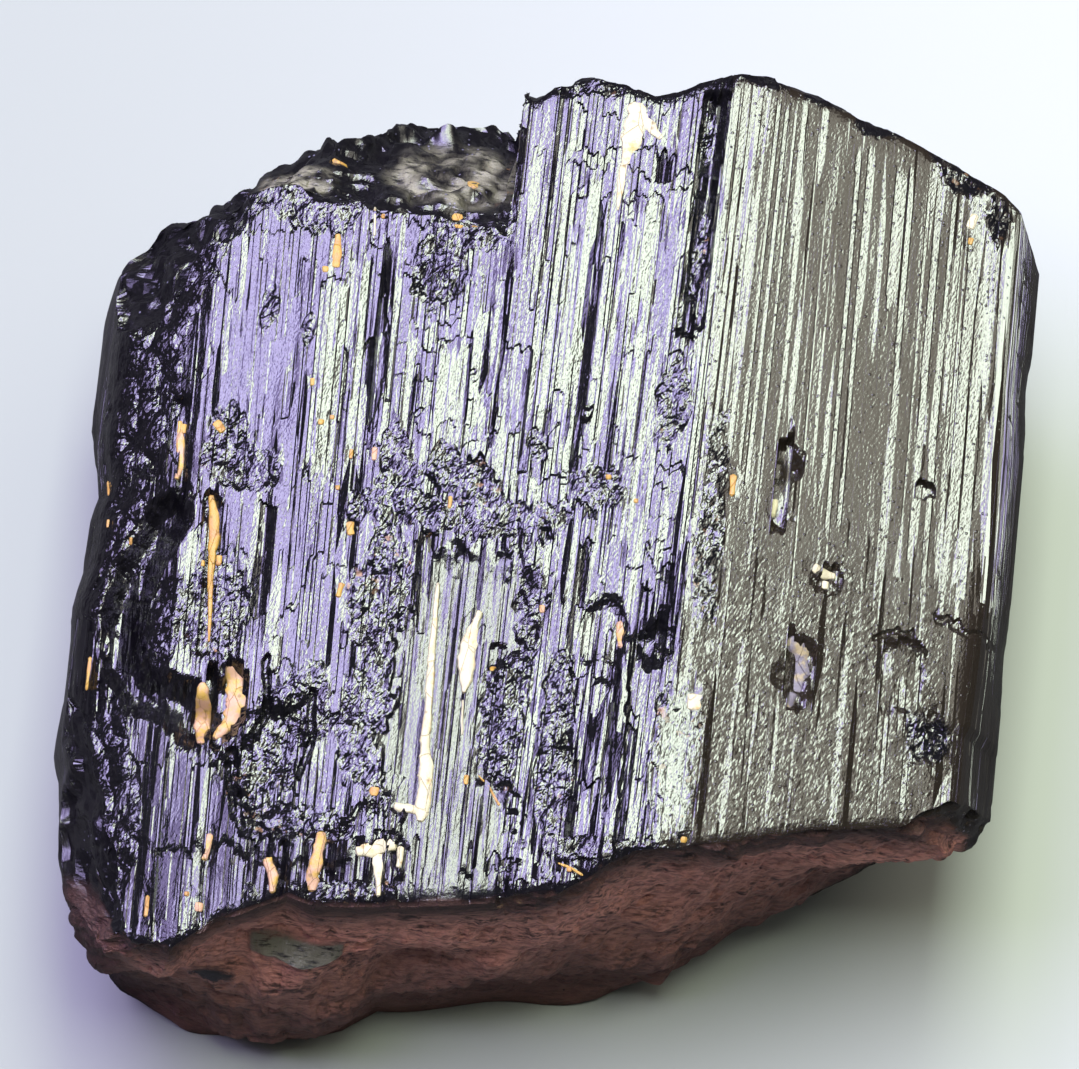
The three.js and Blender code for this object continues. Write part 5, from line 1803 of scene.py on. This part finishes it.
GRAINS = (
    Grain("feldspar_wedge_top_dressed", Feldspar.CREAM, (
        Stroke(((4.2, 39.2, 0.7), (4.6, 38.2, 1.2), (4.4, 36.5, 1.25), (4.0, 34.5, 0.7), (3.8, 32, 0.5),
                (3.6, 30, 0.35), (3.6, 28.4, 0.12))),
        Stroke(((4.8, 37.6, 0.6), (6.0, 37.0, 0.6), (7.0, 35.8, 0.3)), 0.12),
    ), "feldspar_wedge_top"),
    Grain("feldspar_sliver_long_dressed", Feldspar.CREAM, (
        Stroke(((-9.6, -9.1, 0.2), (-9.5, -15.6, 0.36), (-9.2, -21.9, 0.42), (-9.2, -25.1, 0.48),
                (-8.8, -27, 0.75), (-8.8, -31.2, 0.72), (-8.8, -32, 0.35)), 0.3),
        Stroke(((-9.0, -31, 0.5), (-10.2, -31.0, 0.5), (-11.4, -30.8, 0.35)), 0.2),
    ), "feldspar_sliver_long"),
    Grain("feldspar_sliver_short_dressed", Feldspar.CREAM, (
        Stroke(((-5.4, -11.6, 0.3), (-5.8, -13, 0.4), (-6.1, -14.4, 0.8), (-6.1, -16.2, 0.85),
                (-6.0, -18.2, 0.65), (-6.1, -19.6, 0.15)), 0.3),
        Stroke(((-6.1, -20.1, 0.12), (-6.0, -22, 0.14), (-5.8, -23.7, 0.1)), 0.1),
    ), "feldspar_sliver_short"),
    Grain("feldspar_seam_left_dressed", Feldspar.ORANGE, (
        Stroke(((-31.9, -2.3, 0.2), (-31.4, -4.2, 0.6), (-31.2, -6, 0.55), (-31.1, -9.6, 0.32),
                (-30.8, -13, 0.22), (-30.5, -16.5, 0.12)), 0.25),
        dot(-30.4, -8.2, 0.35, 0.8), dot(-31.9, -8.8, 0.2, 0.5),
    ), "feldspar_seam_left"),
    Grain("feldspar_plate_left_dressed", Feldspar.PINK, (
        Stroke(((-30.6, -20.6, 0.3), (-30.4, -22.0, 0.7), (-30.3, -24.4, 0.8), (-30.1, -26.4, 0.3)), 0.3),
        Stroke(((-28.3, -18.8, 0.5), (-27.5, -20.2, 1.0), (-27.1, -21.8, 1.15), (-27.6, -23.6, 0.8),
                (-29.0, -25.4, 0.3)), 0.3),
    ), "feldspar_plate_left"),
    Grain("feldspar_sliver_upper_left_dressed", Feldspar.ORANGE, (
        Stroke(((-22.7, 24.2, 0.3), (-22.5, 22, 0.5), (-22.5, 20.9, 0.45))),
        dot(-23.5, 20.7, 0.4, 0.3),
    ), "feldspar_sliver_upper_left"),
    Grain("feldspar_grain_right_dressed", Feldspar.TAN, (
        Stroke(((24.1, -11.2, 0.7), (24.8, -12.2, 1.0), (25.2, -14, 0.9), (25.1, -15.8, 0.9)), 0.15),
        Stroke(((24.6, -16.4, 0.5), (24.2, -17.9, 0.35)), 0.15),
    ), "feldspar_grain_right"),
    Grain("feldspar_row_left_dressed", Feldspar.PINK, (
        Stroke(((-22.6, -36.8, 0.5), (-22, -38.3, 0.55), (-21.9, -39.9, 0.25)), 0.25),
    ), "feldspar_row_left"),
    Grain("feldspar_row_middle_dressed", Feldspar.PINK, (
        Stroke(((-17.9, -34, 0.45), (-18, -36, 0.6), (-18.3, -38, 0.75), (-18.2, -39.3, 0.4)), 0.25),
    ), "feldspar_row_middle"),
    Grain("feldspar_row_right_dressed", Feldspar.CREAM, (
        Stroke(((-14.4, -35.4, 0.45), (-12.6, -34.8, 0.9), (-11.0, -34.5, 0.5)), 0.25),
        Stroke(((-12.5, -35.2, 0.9), (-12.2, -36.8, 0.6), (-12.1, -38.0, 0.3), (-12, -39.4, 0.2)), 0.22),
    ), "feldspar_row_right"),
    Grain("feldspar_chips_orange", Feldspar.ORANGE, (
        dot(-11.6, 27.6, 0.6), dot(-11.3, 26.0, 0.5), dot(-9.8, 26.2, 0.4), dot(-32.2, 4.8, 0.45, 0.8, 0.7),
        dot(-33.4, -41.2, 0.28, 2.0), dot(-29.8, -40.6, 0.3), dot(37.4, 29.9, 0.3, 0.5),
        dot(-22.3, 5.6, 0.38), dot(-21.3, 6.2, 0.26), dot(-20.0, -0.6, 0.28), dot(-18.5, -4.1, 0.5, 1.0, 0.2),
        dot(-18.6, -10.0, 0.34, 1.3, -0.2), dot(-19.1, 3.1, 0.22, 0.9), dot(-9.3, -0.7, 0.2, 1.2),
        dot(-23.5, 9.6, 0.26, 0.6),
        dot(-13.4, -29.4, 0.5, 0.5), dot(-5.0, -27.4, 0.28, 0.8), dot(-3.6, -16.8, 0.4), dot(5.3, 2.4, 0.3),
        dot(8.1, 0.3, 0.25), dot(17.0, 3.6, 0.32, 2.0), dot(15.7, -31.6, 0.4), dot(5.4, -35.4, 0.3),
        dot(-42.1, -0.6, 0.16, 1.6, 0.3), dot(-41.5, -4.8, 0.16, 0.8), dot(-39.1, -6.6, 0.2, 0.6),
        dot(-41.6, -18.4, 0.2, 3.2), dot(-35.3, 4.6, 0.32, 0.8), dot(-18.6, 26.4, 0.22, 0.3),
        Stroke(((4.2, -35.0, 0.1), (5.4, -35.3, 0.16), (6.8, -35.9, 0.12)), 0.1, 0.4),
        Stroke(((-4.0, -27.1, 0.06), (-2.8, -28.3, 0.1), (-1.6, -30.0, 0.14)), 0.08, 0.4),
        Stroke(((-24.2, 33.4, 0.35), (-22.9, 33.0, 0.3)), 0.1, 0.5),
    )),
    Grain("feldspar_chips_pink", Feldspar.PINK, (
        dot(-10.5, 32.6, 0.6, 0.9), dot(-16.9, 3.4, 0.3, 1.2), dot(-28.3, -34.9, 0.4, 2.4, -0.3),
        Stroke(((-35.7, 5.0, 0.22), (-35.4, 2.6, 0.45), (-35.2, 0.4, 0.4), (-35.4, -1.0, 0.2))),
        dot(7.9, -11.6, 0.5, 2.4, 0.2), dot(-28.6, -41.6, 0.5, 0.5), dot(0.4, -10.6, 0.3, 0.6),
    )),
    Grain("feldspar_chips_cream", Feldspar.CREAM, (
        dot(-19.5, 27.4, 0.14, 3.2, 0.3), dot(21.2, 2.2, 0.32, 1.7, -0.1),
        Stroke(((25.4, -4.2, 0.45), (26.4, -4.6, 0.5), (27.5, -4.7, 0.3)), 0.12, 0.5),
        dot(26.6, -5.4, 0.4, 0.5), dot(-10.4, -34.6, 0.34, 2.0), dot(37.6, 32.2, 0.5, 1.2, -0.4),
        dot(15.4, -18.2, 0.85, 0.9),
    )),
)


def nests(x: Field, y: Field) -> Field:
    """How deep the hollows are that the small chips sit in: one along each spine, a little wider.

    Args:
        x, y: Places on the face.

    Returns:
        The depth at each place, in mm.
    """
    depth = np.zeros(np.shape(x))
    uneven = 0.4 * lumps(x * 1.3, y * 1.1, 3.9)
    for stroke in (stroke for grain in GRAINS if not grain.node for stroke in grain.strokes):
        line = tuple((px, py) for px, py, _ in stroke.spine)
        half = 0.25 + sum(part for _, _, part in stroke.spine) / len(stroke.spine)
        near = distance_to(line, x, y) / half + uneven
        depth = np.maximum(depth, 0.06 * (1.0 - smooth(0.5, 1.7, near)))
    return depth


@dataclass(frozen=True)
class FeldsparGrains:
    """All feldspar in the face, as shards laid on the crystal's surface."""

    ring_step: float = 0.22
    corners: int = 14
    squareness: float = 0.6
    sharp_angle: float = 35.0
    above: float = 60.0
    inset: float = 0.01

    def ground(self, crystal: bpy.types.Object, x: np.ndarray, y: np.ndarray) -> np.ndarray:
        """Heights of the crystal's surface below each place of a spine, evened out along it.

        Args:
            crystal: The crystal.
            x, y: The places.

        Returns:
            The heights, in mm.
        """
        heights = []
        for place in zip(x, y):
            start = Vector((place[0], place[1], self.above)) * MM
            hit, spot, _, _ = crystal.ray_cast(start, Vector((0, 0, -1)))
            heights.append(spot.z / MM if hit else np.nan)
        heights = np.array(heights)
        heights = np.where(np.isnan(heights), np.nanmedian(heights), heights)
        padded = np.pad(heights, 2, mode="edge")
        return np.convolve(padded, np.full(5, 0.2), mode="valid")

    def shard(self, crystal: bpy.types.Object, stroke: Stroke, seed: float) -> tuple[np.ndarray, np.ndarray]:
        """One shard: a squarish section, uneven in width, carried along the spine and closed at both ends.

        Args:
            crystal: The crystal that it lies in.
            stroke: Its spine.
            seed: Which lumps make its edges uneven.

        Returns:
            Its points in mm, and its triangles.
        """
        spine = np.array(stroke.spine)
        for end, inner in ((0, 1), (-1, -2)):
            away = spine[end, :2] - spine[inner, :2]
            spine[end, :2] += away / np.hypot(*away) * spine[end, 2] * 0.6
        lengths = np.concatenate([[0.0], np.cumsum(np.hypot(*np.diff(spine[:, :2], axis=0).T))])
        reach = np.linspace(0.0, lengths[-1], max(9, int(lengths[-1] / self.ring_step)))
        x, y, half = (np.interp(reach, lengths, spine[:, axis]) for axis in range(3))
        to_end = np.minimum(reach, lengths[-1] - reach)
        closing = (1.0 - (1.0 - np.clip(to_end / (0.8 * half + 0.05), 0.0, 1.0)) ** 2.4) ** (1 / 2.4)
        closing = np.maximum(closing, 0.04)
        tangent = np.stack([np.gradient(x), np.gradient(y)])
        tangent /= np.hypot(*tangent)
        level = self.ground(crystal, x, y)
        angle = np.linspace(0.0, 2.0 * np.pi, self.corners, endpoint=False)[None, :] + 0.2
        across = np.sign(np.cos(angle)) * np.abs(np.cos(angle)) ** self.squareness
        upward = np.sign(np.sin(angle)) * np.abs(np.sin(angle)) ** self.squareness
        uneven = 1.0 + 0.3 * lumps(reach[:, None] / 0.7, 1.5 * np.sign(across), seed) \
            + 0.16 * lumps(reach[:, None] / 0.28, 1.5 * np.sign(across), seed + 4.4)
        wide = half[:, None] * closing[:, None] * uneven * across
        thick = (stroke.proud + stroke.deep) / 2.0 * np.sqrt(closing)[:, None]
        px = x[:, None] - tangent[1][:, None] * wide
        py = y[:, None] + tangent[0][:, None] * wide
        cleaved = 0.05 * creases(px / 0.7, py / 1.3, seed) * (upward > 0)
        pz = level[:, None] + (stroke.proud - stroke.deep) / 2.0 + thick * upward + cleaved
        points = np.stack([px, py, pz], axis=-1).reshape(-1, 3)
        number = np.arange(px.size).reshape(px.shape)
        turned = np.roll(number, -1, axis=1)
        quads = np.stack([number[:-1], turned[:-1], turned[1:], number[1:]], axis=-1).reshape(-1, 4)
        ends = np.array([points[number[0]].mean(0), points[number[-1]].mean(0)])
        first = np.stack([np.full(self.corners, px.size), turned[0], number[0]], axis=-1)
        last = np.stack([np.full(self.corners, px.size + 1), number[-1], turned[-1]], axis=-1)
        points = np.vstack([points, ends])
        triangles = np.concatenate([triangles_of(quads), first, last])
        corner = points[triangles]
        volume = np.einsum("ij,ij->i", corner[:, 0], np.cross(corner[:, 1], corner[:, 2])).sum()
        return points, triangles if volume > 0 else triangles[:, ::-1]

    def build(self, crystal: bpy.types.Object) -> None:
        """Lays every grain on the crystal, one mesh each.

        Args:
            crystal: The crystal that they lie in.
        """
        bpy.context.view_layer.update()
        finishes = {finish: finish.value.material() for finish in Feldspar}
        low, high = (np.array(corner) / MM for corner in CAD_BOX)
        for number, grain in enumerate(GRAINS):
            points, triangles, count = [], [], 0
            for row, stroke in enumerate(grain.strokes):
                shard_points, shard_triangles = self.shard(crystal, stroke, 3.7 * number + 1.9 * row)
                points.append(np.clip(shard_points, low + self.inset, high - self.inset))
                triangles.append(shard_triangles + count)
                count += len(shard_points)
            mesh = mesh_from_arrays(grain.name, np.vstack(points), np.vstack(triangles))
            mesh.shade_smooth()
            mesh.set_sharp_from_angle(angle=math.radians(self.sharp_angle))
            thing = place_object(mesh, finishes[grain.finish])
            if grain.node:
                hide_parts(grain.node)
            LOG.info("%s: %d shards, %d triangles", grain.name, len(grain.strokes), len(mesh.polygons))


# Studio

@dataclass(frozen=True)
class Studio:
    """The floor, the soft lights and the camera, in metres and degrees."""

    tilt: float = 14.0
    roll: float = 6.0
    distance: float = 0.65
    frame_width: float = 0.1018
    face_level: float = 0.045
    aside: float = -0.00059
    below: float = -0.00338
    light_distance: float = 0.7
    light_length: float = 0.52
    floor_size: float = 6.0
    # Painted shade on the floor: its colour steps from darker on the left to lighter on the right across
    # these x places, setting the backdrop's brightness on each side
    floor_turn: tuple[float, float] = (-70.0, 80.0)
    floor_left: Colour = (0.38, 0.405, 0.365, 1)
    floor_right: Colour = (0.53, 0.555, 0.525, 1)
    # Painted reflection: the dark colour the floor shows only to glossy rays, which keeps the crystal's sides
    # dark
    painted_floor_reflection: Colour = (0.055, 0.055, 0.052, 1)
    surround: Colour = (0.045, 0.045, 0.048, 1)
    # Each soft light's name, the angles that it spans across the view, and its radiance
    panels: tuple[tuple[str, float, float, tuple[float, float, float]], ...] = (
        ("white_light", -6.5, 8.5, (14.2, 15.7, 13.2)),
        ("deep_violet_light", -14.6, -8.5, (4.4, 3.5, 7.6)),
        ("lavender_light", -27.0, -14.6, (8.2, 7.5, 12.4)),
        ("outer_violet_light", -46.0, -26.0, (2.7, 2.2, 4.6)),
        ("grey_light", 9.5, 31.0, (1.95, 1.85, 1.56)),
    )

    def axes(self) -> tuple[Vector, Vector, Vector]:
        """The picture's own right and up on the upright crystal, and the way back to the camera."""
        t = math.radians(self.tilt)
        up, back = Vector((0, math.cos(t), math.sin(t))), Vector((0, -math.sin(t), math.cos(t)))
        return Vector((1, 0, 0)), up, back

    def target(self) -> Vector:
        """The point in the middle of the picture."""
        right, up, _ = self.axes()
        return Vector((0, 0, self.face_level)) + self.aside * right + self.below * up

    def camera(self) -> None:
        """Sets the camera at the photograph's viewing angle."""
        right, up, back = self.axes()
        r = math.radians(self.roll)
        across = math.cos(r) * right + math.sin(r) * up
        upward = -math.sin(r) * right + math.cos(r) * up
        data = bpy.data.cameras.new("camera")
        data.sensor_width = 36.0
        data.lens = data.sensor_width * self.distance / self.frame_width
        data.clip_start = 0.02
        data.clip_end = 20.0
        thing = bpy.data.objects.new("camera", data)
        bpy.context.scene.collection.objects.link(thing)
        place = self.target() + self.distance * back
        matrix = Matrix((across, upward, back)).transposed().to_4x4()
        matrix.translation = place
        thing.matrix_world = matrix
        bpy.context.scene.camera = thing

    def soft_light(self, name: str, low: float, high: float, radiance: tuple[float, ...]) -> None:
        """A long soft light that the face mirrors between two angles across the view.

        Args:
            name: The light's name.
            low, high: Angles from the mirrored view, in degrees, positive to the right.
            radiance: Its brightness in red, green and blue.
        """
        t = math.radians(self.tilt)
        middle = math.radians((low + high) / 2)
        toward = Vector((math.sin(middle) * math.cos(t), math.sin(t), math.cos(middle) * math.cos(t)))
        length = (Vector((0, 1, 0)) - toward.y * toward).normalized()
        across = length.cross(toward)
        data = bpy.data.lights.new(name, "AREA")
        data.shape = "RECTANGLE"
        data.size = 2 * self.light_distance * math.tan(math.radians(high - low) / 2)
        data.size_y = self.light_length
        strongest = max(radiance)
        data.color = tuple(value / strongest for value in radiance)
        data.energy = 4.0 * strongest * data.size * data.size_y
        thing = bpy.data.objects.new(name, data)
        bpy.context.scene.collection.objects.link(thing)
        matrix = Matrix((across, length, toward)).transposed().to_4x4()
        matrix.translation = self.target() + self.light_distance * toward
        thing.matrix_world = matrix

    def lights(self) -> None:
        """The white, violet and grey soft lights and a dim surround."""
        for name, low, high, radiance in self.panels:
            self.soft_light(name, low, high, radiance)
        world = bpy.data.worlds.new("surround")
        world.use_nodes = True
        background = world.node_tree.nodes["Background"]
        background.inputs["Color"].default_value = self.surround
        background.inputs["Strength"].default_value = 1.0
        bpy.context.scene.world = world
        bpy.context.scene.view_settings.view_transform = "Standard"

    def floor(self) -> None:
        """A pale floor under the crystal, with painted shade making its left darker than its right, and
        painted dark in reflections.
        """
        half = self.floor_size / 2 / MM
        points = np.array([(-half, -half, 0), (half, -half, 0), (half, half, 0), (-half, half, 0)], float)
        mesh = mesh_from_arrays("floor", points, np.array([(0, 1, 2), (0, 2, 3)]))
        material, shader, body = new_material("pale_floor")
        x, _, _ = shader.axes()
        # Painted shade: darker on the left, lighter on the right
        colour = shader.blend(shader.step(x, *self.floor_turn), self.floor_left, self.floor_right)
        # Painted reflection: glossy rays see the floor dark
        mirrored = shader.add("LightPath").outputs["Is Glossy Ray"]
        colour = shader.blend(mirrored, colour, self.painted_floor_reflection)
        shader.feed(body, "Base Color", colour)
        shader.feed(body, "Roughness", 0.9)
        mesh.materials.append(material)
        thing = bpy.data.objects.new("floor", mesh)
        bpy.context.scene.collection.objects.link(thing)


def main() -> None:
    """Builds the crystal, its grains and the studio in order."""
    logging.basicConfig(level=logging.INFO, format="%(relativeCreated)6d ms %(message)s")
    studio = Studio()
    studio.camera()
    studio.lights()
    studio.floor()
    crystal = SchorlCrystal().build()
    FeldsparGrains().build(crystal)


if __name__ == "__main__":
    main()
